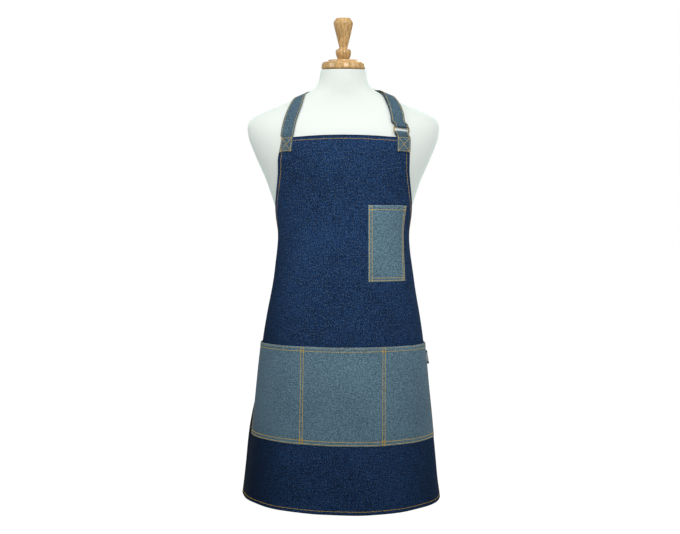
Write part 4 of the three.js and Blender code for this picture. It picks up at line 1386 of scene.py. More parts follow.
def ribbon_piece(name, rows, along, width, cut_ends=(False, False), thick=WEBBING):
    """A ribbon of webbing from its rows, with both edges turned in."""
    flat = np.stack(np.broadcast_arrays(RIBBON_LINES[None, :] * width, along[:, None]), -1)
    edge = np.broadcast_to((0.5 - np.abs(RIBBON_LINES)) * width, flat.shape[:2])
    edge_of_ends = np.full(len(along), 1.0)
    if not cut_ends[0]:
        edge_of_ends = np.minimum(edge_of_ends, along - along[0])
    if not cut_ends[1]:
        edge_of_ends = np.minimum(edge_of_ends, along[-1] - along)
    edge = np.minimum(edge, edge_of_ends[:, None])
    seam = np.exp(-(((edge - EDGE_STITCH) / 0.0009) ** 2))
    thickness = thick * (1 - 0.16 * seam)
    mesh = cloth_mesh(name, rows, flat, thickness, edge + 0.003, cut_ends)
    return add_object(name, mesh, material("strap"))


def ribbon_rails(rows, width, lift=WEBBING / 2, sides=(1, -1)):
    """Stitch rails along both edges of a ribbon, on one or both of its faces."""
    inset = EDGE_STITCH
    normals = -grid_normals(rows)
    rails = []
    for place in (-0.5 + inset / width, 0.5 - inset / width):
        line = np.stack([line_at(row, place) for row in rows])
        facing = unit(np.stack([line_at(row, place) for row in normals]))
        for side in sides:
            rails.append((line + facing * side * (lift * 0.86 + 0.00015), facing * side))
    return rails


def line_at(row, place):
    """A row's value at a place across the ribbon, from -0.5 to 0.5."""
    return np.array([np.interp(place, RIBBON_LINES, row[:, k]) for k in range(3)])


def arc_rows(degrees, off, clearance):
    """Rows round the back of the neck."""
    turns = np.radians(degrees)
    return [ribbon_row(on_neck_arc(t, off), UP, STRAP_WIDTH, clearance - SLACK) for t in turns]


def strap_rows():
    """The rows of the neck strap's four stretches, in order from the right bib corner."""
    left = over_shoulder(-1, SINGLE_CLEAR, 0.0)
    arc_left = arc_rows(range(-36, -3, 4), 0.0, SINGLE_CLEAR)
    weave = [(-16, 0), (-13, 0), (-10, 0.1), (-6, 3.1), (-3, 5.4), (0, 6.2)]
    weave += [(-x, y) for x, y in weave[-2::-1]]
    woven = [ribbon_row(by_slider(x / 1000, y / 1000), UP, STRAP_WIDTH) for x, y in weave]
    arc_right = arc_rows((31, 34, 37), 0.0, STRAP_CLEAR)
    down = over_shoulder(1, STRAP_CLEAR, 0.0)[::-1]
    bar = (RING["height"] + RING["wire"]) / 2
    fold = round_bar(bar, -1, -RING_SIDE)
    back_off = RETURN_CLEAR - STRAP_CLEAR
    up_again = over_shoulder(1, RETURN_CLEAR, back_off)
    arc_back = arc_rows((37, 34, 31), back_off, RETURN_CLEAR)
    loop = [(16, -3.1), (11, -3.1), (5, -1.0)]
    for turn in np.linspace(-np.pi / 2, -1.5 * np.pi, 10):
        loop.append((2.1 * math.cos(turn), 1000 * SLIDER["lift"] + 2.1 * math.sin(turn)))
    looped = [ribbon_row(by_slider(x / 1000, y / 1000), UP, STRAP_WIDTH) for x, y in loop]
    first = box_rows(-1, TAB_LAYER) + left + arc_left + woven[:6]
    second = woven[5:] + arc_right + down[:16]
    third = down[15:] + fold + up_again[:25]
    fourth = up_again[24:] + arc_back + looped
    return first, second, third, fourth


def make_neck_strap():
    """The neck strap, made in four stretches."""
    names = ("neck_strap_left", "neck_strap_adjuster", "neck_strap_front", "neck_strap_return")
    cuts = ((False, True), (True, True), (True, True), (True, False))
    adjuster = {"start": tuple(on_neck_arc(math.radians(-38))), "end": tuple(by_slider(-0.014, 0))}
    far = {"start": tuple(on_neck_arc(math.radians(44))), "end": tuple(by_slider(0.014, 0))}
    ring = {"start": tuple(by_ring(0.045, 0)), "end": tuple(by_ring(0.009, 0))}
    bends = (("slider", adjuster), ("slider", far), ("ring", ring), ("slider", far))
    so_far = 0.0
    clearances = (SINGLE_CLEAR, STRAP_CLEAR, STRAP_CLEAR, RETURN_CLEAR)
    easy = (((14, -0.001, 0.080), (55, 0.050, 0.018)), ((9, 0.012, 0.034),), (), ((16, 0.034, 0.012),))
    stretches = zip(names, strap_rows(), cuts, bends, easy, clearances)
    for name, rows, cut, (body, bend), eased, clearance in stretches:
        rows, along = even_rows(rows, 0.0022, eased, clearance - SLACK)
        piece = ribbon_piece(name, rows, along + so_far, STRAP_WIDTH, cut)
        rails = ribbon_rails(rows, STRAP_WIDTH)
        if name == "neck_strap_left":
            rails += box_cross(rows, along)
        thread = sew(name.replace("strap", "stitches"), rails, STRAP_THREAD)
        for obj in (piece, thread):
            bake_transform(obj)
        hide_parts("neck_strap")
        so_far += float(along[-1])


def box_cross(rows, along):
    """The square and cross that fix webbing to the bib, on its first rows."""
    inset = EDGE_STITCH
    side = 0.5 - inset / STRAP_WIDTH
    end = BOX_HEIGHT - 0.001
    corners = [(-side, inset), (side, inset), (side, end), (-side, end), (-side, inset)]
    lines = [corners[:2], corners[2:4], [corners[0], corners[2]], [corners[1], corners[3]]]
    normals = -grid_normals(rows)
    rails = []
    for (a, v0), (b, v1) in lines:
        line, facing = [], []
        for share in np.linspace(0, 1, 14):
            place, distance = a + (b - a) * share, v0 + (v1 - v0) * share
            k = int(np.clip(np.searchsorted(along, distance), 1, len(along) - 1))
            t = (distance - along[k - 1]) / (along[k] - along[k - 1])
            line.append(line_at(rows[k - 1], place) * (1 - t) + line_at(rows[k], place) * t)
            facing.append(line_at(normals[k], place))
        facing = unit(np.array(facing))
        rails.append((np.array(line) + facing * (WEBBING / 2 * 0.86 + 0.00015), facing))
    return rails


def make_ring_tab():
    """The short tab that holds the ring, folded round its lower bar and boxed to the bib."""
    front = box_rows(1, TAB_LAYER + LAYER_STEP)
    back = box_rows(1, TAB_LAYER)[::-1]
    bar = -(RING["height"] + RING["wire"]) / 2
    rows, along = even_rows(front + round_bar(bar, 1, RING_SIDE) + back, 0.0018)
    tab = ribbon_piece("ring_tab_webbing", rows, along, STRAP_WIDTH)
    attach(tab, "form")
    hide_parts("ring_tab")
    half = len(rows) // 2
    rails = ribbon_rails(rows[:half], STRAP_WIDTH, sides=(1,)) + box_cross(rows, along)
    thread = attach(sew("ring_tab_stitches", rails, STRAP_THREAD), "form")


def rounded_loop(width, height, radius):
    """Corner-rounded rectangle about the origin, as points in order."""
    x, y = width / 2 - radius, height / 2 - radius
    points = []
    for cx, cy, start in ((x, -y, -90), (x, y, 0), (-x, y, 90), (-x, -y, 180)):
        points += arc((cx, cy), radius, start, start + 90)
    return np.array(points)


def wire_loop(loop, wire, sides=14):
    """A closed wire swept round a flat loop. Returns points and faces."""
    count = len(loop)
    tangent = unit(np.roll(loop, -1, 0) - np.roll(loop, 1, 0))
    normal = np.stack([tangent[:, 1], -tangent[:, 0]], -1)
    turns = np.linspace(0, 2 * np.pi, sides, endpoint=False)
    points = []
    for p, n in zip(loop, normal):
        for t in turns:
            flat = p + n * math.cos(t) * wire / 2
            points.append((flat[0], flat[1], math.sin(t) * wire / 2))
    r, c = np.meshgrid(np.arange(count), np.arange(sides), indexing="ij")
    nr, nc = (r + 1) % count, (c + 1) % sides
    quads = np.stack([r * sides + c, nr * sides + c, nr * sides + nc, r * sides + nc], -1)
    return np.array(points), quads.reshape(-1, 4)


def straight_bar(length, wire):
    """A bar along x with closed ends. Returns points and faces."""
    sides = 14
    turns = np.linspace(0, 2 * np.pi, sides, endpoint=False)
    circle = np.stack([np.cos(turns), np.sin(turns)], -1) * wire / 2
    ends = [np.insert(circle, 0, x, axis=1) for x in (-length / 2, length / 2)]
    faces = [(k, (k + 1) % sides, sides + (k + 1) % sides, sides + k) for k in range(sides)]
    faces += [tuple(range(sides))[::-1], tuple(range(sides, 2 * sides))]
    return np.vstack(ends), faces


def in_basis(points, x, y, z, origin):
    """Points moved from the origin's axes to those."""
    return points[:, :1] * x + points[:, 1:2] * y + points[:, 2:3] * z + origin


def make_hardware():
    """The brass ring and the three-bar adjuster."""
    wire = RING["wire"]
    loop = rounded_loop(RING["width"] + wire, RING["height"] + wire, 0.0036)
    points, faces = wire_loop(loop, wire, 18)
    points[:, 2] *= 0.94
    placed = in_basis(points, RING_SIDE, RING_RISE, RING_OUT, RING_MIDDLE)
    mesh = tidied(mesh_from("rectangular_ring", placed, faces))
    finished("rectangular_ring", mesh, "brass", "ring", "strap_ring")

    wire = SLIDER["wire"]
    loop = rounded_loop(SLIDER["width"] + wire, SLIDER["span"], 0.0028)
    points, faces = wire_loop(loop, wire)
    bar, bar_faces = straight_bar(SLIDER["width"] + wire * 0.6, wire)
    start = len(points)
    faces = faces.tolist() + [tuple(start + k for k in face) for face in bar_faces]
    points = np.vstack([points, bar])
    origin = by_slider(0, SLIDER["lift"])
    placed = in_basis(points, UP, SLIDER_ALONG, np.cross(UP, SLIDER_ALONG), origin)
    mesh = tidied(mesh_from("three_bar_adjuster", placed, faces))
    finished("three_bar_adjuster", mesh, "brass", "slider", "strap_slider")


# ------------------------------------------------------------------ waist ties


def bow_strip(name, points, across, scales):
    """A strip of tie webbing along points, with its stitches."""
    rows = np.array([ribbon_row(p, a, TIE_WIDTH * s) for p, a, s in zip(points, across, scales)])
    tie_from_rows(name, rows, "tie_bow")


def tie_from_rows(name, rows, node):
    """A tie, or a part of the bow, from its rows."""
    rows, along = even_rows(rows, 0.003)
    piece = ribbon_piece(name, rows, along, TIE_WIDTH, thick=TIE_WEBBING)
    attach(piece, "form")
    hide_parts(node)
    rails = ribbon_rails(rows, TIE_WIDTH, lift=TIE_WEBBING / 2)
    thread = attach(sew(name + "_stitches", rails), "form")


def make_ties():
    """Both waist ties, from the waist corners to the bow."""
    for name, side in (("left", 1), ("right", -1)):
        sewn = []
        for u in np.linspace(0.302, 0.341, 12):
            v = ARMHOLE_DEPTH + 0.016 - RIBBON_LINES * TIE_WIDTH
            sewn.append(hang(np.full(len(v), side * u), v, -TAB_LAYER - 0.0006))
        end = sewn[-1][len(RIBBON_LINES) // 2]
        route = [end, (side * 0.084, 0.0995, 0.544), (side * 0.058, 0.1015, 0.549)]
        route += [(side * 0.034, 0.101, 0.553), (side * 0.0145, 0.1008, 0.556)]
        share = np.linspace(0, 1, 26)[1:]
        points = smooth_path(route, share)
        free = [ribbon_row(p, UP, TIE_WIDTH * (1 - 0.3 * t**3), 0.003) for p, t in zip(points, share)]
        tie_from_rows(f"tie_{name}", np.array(sewn + free), f"waist_tie_{name}")


def make_bow():
    """The bow: two loops, two tails and the knot round them."""
    for name, side in (("left", 1), ("right", -1)):
        route = [(6, 106.8, 556), (20, 105.2, 555.5), (42, 105.4, 551), (66, 106.5, 545), (78, 109, 541.5)]
        route += [(81, 112, 540), (77, 115.5, 540.5), (64, 117.5, 543.5), (40, 116.5, 550), (20, 114, 555)]
        route += [(6, 112, 557)]
        share = np.linspace(0, 1, 60)
        points = smooth_path(np.array(route) / 1000 * (side, 1, 1), share)
        tilt = unit(np.stack([np.zeros(60), 0.25 * np.sin(share * 7), np.ones(60)], -1))
        pinch = 1 - 0.42 * np.abs(2 * share - 1) ** 4
        bow_strip(f"bow_loop_{name}", points, tilt, pinch)
        low = 96 if side > 0 else 104
        route = [(8, 110, 552), (13, 111.5, 520), (17, 115.5, 472), (20, 122, 430), (22, 127, 390)]
        route += [(24, 129.3, 345), (25, 130, 300), (27, 129.5, 200), (28 + 2 * side, 130.5, low)]
        share = np.linspace(0, 1, 90)
        points = smooth_path(np.array(route) / 1000 * (side, 1, 1), share)
        turn = 0.55 * np.exp(-share * 9) + 0.16 * np.sin(share * 9 + side)
        across = np.stack([np.cos(turn), side * np.sin(turn) * 0.8, np.zeros(90)], -1)
        bow_strip(f"bow_tail_{name}", points, unit(across), 0.68 + 0.32 * smoothstep(share, 0, 0.14))
    make_knot()


def make_knot():
    """The turn of webbing that holds the bow: a pillowed band with folds across it."""
    rows, columns = 40, 33
    turn = np.linspace(0, 2 * np.pi, rows, endpoint=False)[:, None]
    across = np.linspace(-1, 1, columns)[None, :]
    fold = 1 + 0.05 * np.cos(across * 9 + 1.2 * np.sin(turn)) * np.cos(turn - 0.4)
    swell = (1 - np.abs(across) ** 4 * 0.42) * fold
    x = 0.0105 * across * (1 + 0.10 * np.cos(turn))
    y = 0.109 + 0.0085 * np.sin(turn) * swell
    z = 0.5558 + 0.0135 * np.cos(turn) * swell - 0.0006 * across
    points = np.stack(np.broadcast_arrays(x, y, z), -1)
    flat = np.stack(np.broadcast_arrays(across * 0.0105, turn * 0.012), -1).reshape(-1, 2)
    faces = []
    for r in range(rows):
        n = (r + 1) % rows
        here, there = r * columns, n * columns
        faces += [(here + c, here + c + 1, there + c + 1, there + c) for c in range(columns - 1)]
    faces.append(tuple(r * columns for r in range(rows)))
    faces.append(tuple(r * columns + columns - 1 for r in range(rows))[::-1])
    edge = np.full(rows * columns, 0.1)
    mesh = mesh_from("bow_knot", points.reshape(-1, 3), faces, flat, {"edge": edge, "inside": edge * 0})
    mesh = tidied(sharpen(mesh, 60))
    knot = finished("bow_knot", mesh, "strap", "form", "tie_bow")


# ------------------------------------------------------------------ dress form


def torso_skin(name, heights, outside, inside, paint, node):
    """A closed skin round the torso between two distances from the shell's outer face."""
    turns = np.linspace(-np.pi, np.pi, 151)
    height, turn = np.meshgrid(heights, turns, indexing="ij")
    outer = torso_surface(height, turn, outside(height, turn))
    inner = torso_surface(height, turn, inside)
    flat = np.stack([turn * 0.145, height], -1)
    rows, columns = height.shape
    count = rows * columns
    faces = [grid_faces(rows, columns), grid_faces(rows, columns, count)[:, ::-1]]
    for row, flip in ((0, True), (rows - 1, False)):
        c = np.arange(columns - 1)
        base = row * columns
        rim = np.stack([base + c, base + c + 1, count + base + c + 1, count + base + c], -1)
        faces.append(rim[:, ::-1] if flip else rim)
    points = np.vstack([outer.reshape(-1, 3), inner.reshape(-1, 3)])
    flats = np.vstack([flat.reshape(-1, 2)] * 2)
    mesh = tidied(mesh_from(name, points, np.vstack(faces), flats), 1e-5)
    return finished(name, mesh, paint, "form", node), outer


def make_cover():
    """The jersey cover, drawn over the shell and tucked in at the neck and under the board."""
    heights = np.concatenate(
        [
            np.linspace(0.3004, 0.3035, 4),
            np.linspace(0.307, 0.84, 84)[:-1],
            np.linspace(0.84, 0.975, 58)[:-1],
            np.linspace(0.975, NECK_TOP, 10),
        ]
    )

    def outside(height, turn):
        """The cover's outer face, drawn in at the board and along its seams."""
        tuck = 0.0012 * np.exp(-(((height - 0.3) / 0.0022) ** 2))
        seams = np.exp(-((np.abs(np.abs(turn) - np.pi / 2) / 0.012) ** 2))
        seams += np.exp(-(((np.pi - np.abs(turn)) / 0.010) ** 2))
        return COVER - tuck - 0.0005 * seams

    inside = COVER - 0.0008
    cover, outer = torso_skin("jersey_skin", heights, outside, inside, "jersey", "jersey_cover")


def make_shell():
    """The hollow shell under the cover."""
    heights = np.concatenate([np.linspace(0.3148, 0.84, 60)[:-1], np.linspace(0.84, NECK_TOP, 50)])
    torso_skin("form_shell", heights, lambda height, turn: 0.0, -0.005, "shell", "torso_shell")


def make_neck_cap():
    """The turned cap on the neck, and the turned knob above it."""
    cap = [(0.005, 0.0007), (0.0470, 0.0007)]
    cap += arc((0.0462, 0.0060), 0.0053, -82, 28, 9)
    cap += [(0.0508, 0.0115), (0.0501, 0.0142), (0.0484, 0.0164), (0.0455, 0.0182), (0.0415, 0.0193)]
    cap += [(0.0375, 0.0198), (0.0358, 0.0202), (0.0356, 0.0212), (0.0354, 0.0222), (0.0346, 0.0230)]
    cap += [(0.0334, 0.0232), (0.005, 0.0232)]
    mesh = sharpen(lathe_mesh("turned_cap", cap, 96, on_neck()), 40)
    finished("turned_cap", mesh, "cap_wood", "form", "neck_cap")

    knob = [(0, 0.0530), (0.0046, 0.0530), (0.0046, 0.0236), (0.0128, 0.0236), (0.0136, 0.0246)]
    knob += [(0.0151, 0.0280), (0.0168, 0.0325), (0.0180, 0.0370), (0.0184, 0.0405), (0.0182, 0.0435)]
    knob += [(0.0174, 0.0457), (0.0155, 0.0472), (0.0125, 0.0484), (0.0104, 0.0496), (0.0099, 0.0510)]
    knob += [(0.0104, 0.0540), (0.0135, 0.0660), (0.0180, 0.0840), (0.0213, 0.0970), (0.0228, 0.1040)]
    knob += [(0.0231, 0.1070), (0.0228, 0.1096), (0.0216, 0.1120), (0.0196, 0.1142), (0.0186, 0.1152)]
    knob += [(0.0181, 0.1164), (0.0178, 0.1174), (0.0168, 0.1182), (0.0150, 0.1184), (0, 0.1186)]
    mesh = sharpen(lathe_mesh("turned_knob", knob, 96, on_neck()), 50)
    finished("turned_knob", mesh, "finial_wood", "finial", "finial")


# ------------------------------------------------------------------ stand


def finer(name, node, outline, paint, body, sides=64):
    """A turned piece that stands for a plainer CAD node."""
    mesh = sharpen(lathe_mesh(name, outline, sides), 32)
    finished(name, mesh, paint, body, node)


def make_stand():
    """The low stand: pad, plate, foot, tube, post, and what fits on them."""
    pad_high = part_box("base_pad")[1]
    low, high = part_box("base_plate")
    radius = high.x
    pad = pad_high.x
    outline = [(0, 0), (pad - 0.001, 0)] + arc((pad - 0.001, 0.001), 0.001, -90, 0, 4)
    outline += [(pad, pad_high.z), (0, pad_high.z)]
    finer("rubber_pad", "base_pad", outline, "rubber", "stand", 96)
    edge = 0.003
    outline = [(0.0095, low.z), (radius - 0.001, low.z), (radius, low.z + 0.001)]
    outline += arc((radius - edge, high.z - edge), edge, 0, 90, 8)
    outline += [(0.0043, high.z), (0.0043, low.z + 0.006), (0.0095, low.z + 0.006)]
    finer("round_plate", "base_plate", outline, "powder_coat", "stand", 128)
    low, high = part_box("tube_foot")
    outline = [(0.0043, low.z), (0.0295, low.z)] + arc((0.0290, low.z + 0.0012), 0.0010, -60, 60, 4)
    outline += [(0.0262, 0.0148), (0.0225, 0.0178), (0.0202, 0.0212), (0.0196, 0.0237)]
    outline += [(0.0132, 0.0237), (0.0132, high.z), (0.0043, high.z)]
    finer("stand_foot", "tube_foot", outline, "powder_coat", "stand")
    low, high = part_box("stand_tube")
    outline = [(0.0136, low.z), (0.0160, low.z), (0.0160, high.z), (0.0136, high.z)]
    finer("lower_tube", "stand_tube", outline, "powder_coat", "stand")
    low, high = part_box("inner_post")
    outline = [(0.0095, low.z), (0.0118, low.z), (0.0120, low.z + 0.0003)]
    outline += [(0.0120, high.z), (0.0095, high.z)]
    finer("sliding_post", "inner_post", outline, "drawn_steel", "post")
    low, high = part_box("thrust_washer")
    outline = [(0.0123, low.z), (0.0208, low.z), (0.0210, high.z - 0.0003)]
    outline += [(0.0208, high.z), (0.0123, high.z)]
    finer("nylon_washer", "thrust_washer", outline, "nylon", "post")
    make_clamp()


def clamp_place():
    """Places what is made about Z on the clamp screw's axis, with +Z out along +Y."""
    low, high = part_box("clamp_screw")
    return Matrix.Translation((0, 0, (low.z + high.z) / 2)) @ Matrix.Rotation(-math.pi / 2, 4, "X")


def make_clamp():
    """The lobed hand knob and its screw."""
    low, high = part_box("clamp_knob")
    lobes, sides = 6, 96
    heights = [(low.y, 0.86), (low.y + 0.0006, 0.93), (low.y + 0.002, 0.98), (low.y + 0.004, 1.0)]
    heights += [(high.y - 0.004, 1.0), (high.y - 0.0016, 0.97), (high.y - 0.0004, 0.90), (high.y, 0.80)]
    heights += [(high.y - 0.0006, 0.55)]
    points, numbers = [], []
    for height, share in heights:
        numbers.append(len(points))
        for k in range(sides):
            turn = 2 * math.pi * k / sides
            radius = (0.015 + 0.0018 * math.cos(lobes * turn)) * share
            points.append((radius * math.cos(turn), radius * math.sin(turn), height))
    faces = []
    for a, b in zip(numbers[:-1], numbers[1:]):
        faces += [(a + k, a + (k + 1) % sides, b + (k + 1) % sides, b + k) for k in range(sides)]
    faces.append(tuple(range(sides))[::-1])
    faces.append(tuple(range(numbers[-1], numbers[-1] + sides)))
    mesh = sharpen(mesh_from("lobed_knob", points, faces), 40)
    mesh.transform(clamp_place())
    finished("lobed_knob", tidied(mesh), "plastic", "clamp", "clamp_knob")
    low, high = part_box("clamp_screw")
    start, end = low.y, high.y - 0.010
    outline = [(0, start)]
    pitch = 0.00125
    for k in range(int((end - start) / pitch)):
        z = start + k * pitch
        outline += [(0.0035, z + 0.0002), (0.0040, z + pitch / 2)]
    outline += [(0.0035, end), (0, end)]
    mesh = lathe_mesh("clamp_thread", outline, 32, clamp_place())
    finished("clamp_thread", mesh, "steel", "clamp", "clamp_screw")


def paint_frame():
    """Finishes for the CAD nodes that still show."""
    paints = {
        "plate_bolt": "steel",
        "clamp_collar": "plastic",
        "post_plug": "nylon",
        "stop_collar": "steel",
        "stop_collar_screw": "powder_coat",
        "base_board": "plywood",
        "swivel_socket": "steel",
        "socket_cap": "steel",
        "neck_block": "plywood",
        "finial_stud": "drawn_steel",
        **{f"socket_screw_{k}": "steel" for k in (1, 2, 3, 4)},
    }
    for node, paint in paints.items():
        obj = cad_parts[node]
        obj.data.materials.clear()
        obj.data.materials.append(material(paint))


# ------------------------------------------------------------------ stage


def make_stage():
    """Camera, floor, lights and surroundings."""
    stage = bpy.context.scene.apron_stage
    camera = bpy.data.objects.new("camera", bpy.data.cameras.new("camera"))
    camera.data.lens = stage.lens
    camera.data.sensor_width = 36.0
    camera.location = (-0.0082, -stage.distance, stage.height)
    camera.rotation_euler = (math.pi / 2 - stage.tilt, 0, 0)
    bpy.context.scene.collection.objects.link(camera)
    bpy.context.scene.camera = camera

    size = 30.0
    points = [(-size, -size, 0), (size, -size, 0), (size, size, 0), (-size, size, 0)]
    mesh = mesh_from("floor", points, [(0, 1, 2, 3)])
    add_object("floor", mesh, stage_floor((0.72, 0.72, 0.72), 0.88))

    target = Vector((0, 0, 0.98))
    lights = [
        ("key", (0.30, -1.30, 1.52), 0.6, 0.6, stage.key * 0.50),
        ("top", (0.0, -0.4, 2.2), 1.4, 0.8, stage.key * 0.22),
        ("left", (-1.3, -0.6, 1.55), 0.7, 0.7, stage.key * 0.38),
        ("right", (1.3, -0.8, 1.5), 0.7, 0.7, stage.key * 0.23),
        ("back", (0.6, 2.2, 1.8), 1.6, 1.2, stage.key * 1.1),
    ]
    for name, place, width, height, power in lights:
        light = bpy.data.lights.new(name, "AREA")
        light.shape = "RECTANGLE"
        light.size, light.size_y = width, height
        light.energy = power
        lamp = bpy.data.objects.new(name, light)
        lamp.location = place
        lamp.rotation_euler = (target - Vector(place)).to_track_quat("-Z", "Y").to_euler()
        bpy.context.scene.collection.objects.link(lamp)

    world = bpy.data.worlds.new("surroundings")
    bpy.context.scene.world = world
    world.use_nodes = True
    g = Graph(world.node_tree)
    seen = g.add("ShaderNodeLightPath")
    backdrop = g.add("ShaderNodeBackground", values={"Color": (1, 1, 1, 1), "Strength": 1.0})
    values = {"Color": (0.96, 0.99, 1.0, 1), "Strength": stage.ambient}
    ambient = g.add("ShaderNodeBackground", values=values)
    both = g.add("ShaderNodeMixShader", values=[seen, ambient, backdrop])
    g.add("ShaderNodeOutputWorld", values=[both])
    bpy.context.scene.view_settings.view_transform = "Standard"


# ------------------------------------------------------------------ settings


def colour_setting(name, description, default):
    """A colour that the user can change."""
    settings = {"subtype": "COLOR", "min": 0, "max": 1}
    return bpy.props.FloatVectorProperty(name=name, description=description, default=default, **settings)


class ApronLook(bpy.types.PropertyGroup):
    """Colours of the cloth, wood and metal."""

    denim: colour_setting("Denim", "Middle colour of the indigo denim", (0.0088, 0.0280, 0.0780))
    chambray: colour_setting("Pocket Warp", "Darker yarn of the pockets", (0.071, 0.145, 0.206))
    chambray_pale: colour_setting("Pocket Weft", "Paler yarn of the pockets", (0.113, 0.197, 0.241))
    strap: colour_setting("Strap Warp", "Darker yarn of the straps and ties", (0.041, 0.086, 0.124))
    strap_pale: colour_setting("Strap Weft", "Paler yarn of the straps and ties", (0.068, 0.122, 0.158))
    thread: colour_setting("Thread", "Topstitching thread", (0.72, 0.46, 0.030))
    jersey: colour_setting("Jersey", "The form's knitted cover", (0.655, 0.684, 0.648))
    wood: colour_setting("Wood", "Middle colour of the turned wood", (0.56, 0.34, 0.130))
    brass: colour_setting("Brass", "The ring and the adjuster", (0.46, 0.32, 0.13))


class ApronThread(bpy.types.PropertyGroup):
    """Sizes of the topstitching."""

    pitch: bpy.props.FloatProperty(
        name="Pitch", description="From one stitch to the next", default=0.0034, min=0.001, unit="LENGTH"
    )
    width: bpy.props.FloatProperty(
        name="Thread Width",
        description="Thickness of the thread",
        default=0.0012,
        min=0.0002,
        unit="LENGTH",
    )
    seed: bpy.props.IntProperty(name="Seed", description="Picks how the stitches vary", default=7)


class ApronStage(bpy.types.PropertyGroup):
    """Camera and lights."""

    distance: bpy.props.FloatProperty(
        name="Distance", description="From the camera to the form's axis", default=2.7, unit="LENGTH"
    )
    height: bpy.props.FloatProperty(
        name="Height", description="Height of the camera", default=0.638, unit="LENGTH"
    )
    tilt: bpy.props.FloatProperty(
        name="Tilt",
        description="How far the camera looks down",
        default=math.radians(2.086),
        subtype="ANGLE",
    )
    lens: bpy.props.FloatProperty(name="Lens", description="Focal length", default=61.04, unit="CAMERA")
    key: bpy.props.FloatProperty(
        name="Light", description="Power of which each light takes a share", default=24.0, unit="POWER"
    )
    ambient: bpy.props.FloatProperty(name="Ambient", description="Light from all around", default=0.45)


# ------------------------------------------------------------------ operators


class APRON_OT_stage(bpy.types.Operator):
    """Adds the camera, the floor and the lights"""

    bl_idname = "apron.stage"
    bl_label = "Stage"

    def execute(self, context):
        make_stage()
        return {"FINISHED"}


class APRON_OT_frame_finishes(bpy.types.Operator):
    """Gives the CAD pieces that show their finishes"""

    bl_idname = "apron.frame_finishes"
    bl_label = "Frame Finishes"

    def execute(self, context):
        paint_frame()
        return {"FINISHED"}


class APRON_OT_shell(bpy.types.Operator):
    """Makes the shell under the cover"""

    bl_idname = "apron.shell"
    bl_label = "Form Shell"

    def execute(self, context):
        make_shell()
        return {"FINISHED"}


class APRON_OT_cover(bpy.types.Operator):
    """Makes the form's knitted cover"""

    bl_idname = "apron.cover"
    bl_label = "Jersey Cover"

    def execute(self, context):
        make_cover()
        return {"FINISHED"}


class APRON_OT_neck_cap(bpy.types.Operator):
    """Makes the turned neck cap and its knob"""

    bl_idname = "apron.neck_cap"
    bl_label = "Cap and Knob"

    def execute(self, context):
        make_neck_cap()
        return {"FINISHED"}


class APRON_OT_panel(bpy.types.Operator):
    """Makes the apron's panel and its hems"""

    bl_idname = "apron.panel"
    bl_label = "Denim Panel"

    def execute(self, context):
        make_panel()
        return {"FINISHED"}


class APRON_OT_waist_pocket(bpy.types.Operator):
    """Makes the waist pocket and its label"""

    bl_idname = "apron.waist_pocket"
    bl_label = "Waist Pocket"

    def execute(self, context):
        make_waist_pocket()
        return {"FINISHED"}


class APRON_OT_chest_pocket(bpy.types.Operator):
    """Makes the chest pocket"""

    bl_idname = "apron.chest_pocket"
    bl_label = "Chest Pocket"

    def execute(self, context):
        make_chest_pocket()
        return {"FINISHED"}


class APRON_OT_hardware(bpy.types.Operator):
    """Makes the brass ring and the adjuster"""

    bl_idname = "apron.hardware"
    bl_label = "Ring and Adjuster"

    def execute(self, context):
        make_hardware()
        return {"FINISHED"}


class APRON_OT_neck_strap(bpy.types.Operator):
    """Makes the neck strap"""

    bl_idname = "apron.neck_strap"
    bl_label = "Neck Strap"

    def execute(self, context):
        make_neck_strap()
        return {"FINISHED"}


class APRON_OT_ring_tab(bpy.types.Operator):
    """Makes the tab that holds the ring"""

    bl_idname = "apron.ring_tab"
    bl_label = "Ring Tab"

    def execute(self, context):
        make_ring_tab()
        return {"FINISHED"}


class APRON_OT_ties(bpy.types.Operator):
    """Makes the two waist ties"""

    bl_idname = "apron.ties"
    bl_label = "Waist Ties"

    def execute(self, context):
        make_ties()
        return {"FINISHED"}


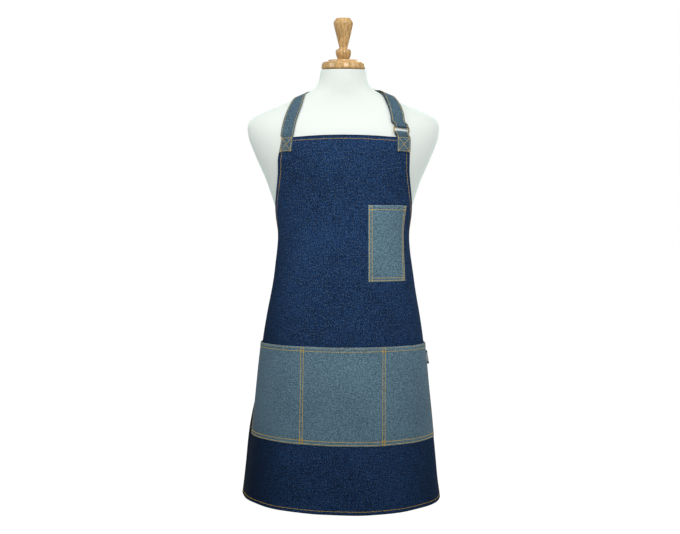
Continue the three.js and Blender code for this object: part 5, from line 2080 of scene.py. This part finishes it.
class APRON_OT_bow(bpy.types.Operator):
    """Makes the bow behind the waist"""

    bl_idname = "apron.bow"
    bl_label = "Bow"

    def execute(self, context):
        make_bow()
        return {"FINISHED"}


class APRON_OT_stand(bpy.types.Operator):
    """Makes the low stand"""

    bl_idname = "apron.stand"
    bl_label = "Stand"

    def execute(self, context):
        make_stand()
        return {"FINISHED"}


OPERATORS = [
    APRON_OT_stage,
    APRON_OT_frame_finishes,
    APRON_OT_shell,
    APRON_OT_cover,
    APRON_OT_neck_cap,
    APRON_OT_panel,
    APRON_OT_waist_pocket,
    APRON_OT_chest_pocket,
    APRON_OT_hardware,
    APRON_OT_neck_strap,
    APRON_OT_ring_tab,
    APRON_OT_ties,
    APRON_OT_bow,
    APRON_OT_stand,
]


class APRON_PT_pieces(bpy.types.Panel):
    """Lists the pieces in the sidebar."""

    bl_label = "Apron on a Dress Form"
    bl_space_type = "VIEW_3D"
    bl_region_type = "UI"
    bl_category = "Apron"

    def draw(self, context):
        layout = self.layout
        for group in ("apron_look", "apron_thread", "apron_stage"):
            settings = getattr(context.scene, group)
            box = layout.box()
            for key in settings.bl_rna.properties.keys():
                if key not in ("rna_type", "name"):
                    box.prop(settings, key)
        for entry in OPERATORS:
            layout.operator(entry.bl_idname)


CLASSES = [ApronLook, ApronThread, ApronStage, *OPERATORS, APRON_PT_pieces]


def register():
    """Registers the classes and the scene's settings."""
    for entry in CLASSES:
        bpy.utils.register_class(entry)
    bpy.types.Scene.apron_look = bpy.props.PointerProperty(type=ApronLook)
    bpy.types.Scene.apron_thread = bpy.props.PointerProperty(type=ApronThread)
    bpy.types.Scene.apron_stage = bpy.props.PointerProperty(type=ApronStage)


def unregister():
    """Takes away what register added."""
    del bpy.types.Scene.apron_look
    del bpy.types.Scene.apron_thread
    del bpy.types.Scene.apron_stage
    for entry in reversed(CLASSES):
        bpy.utils.unregister_class(entry)


def main():
    """Builds the object."""
    register()
    for entry in OPERATORS:
        getattr(bpy.ops.apron, entry.bl_idname.split(".")[1])()


if __name__ == "__main__":
    main()
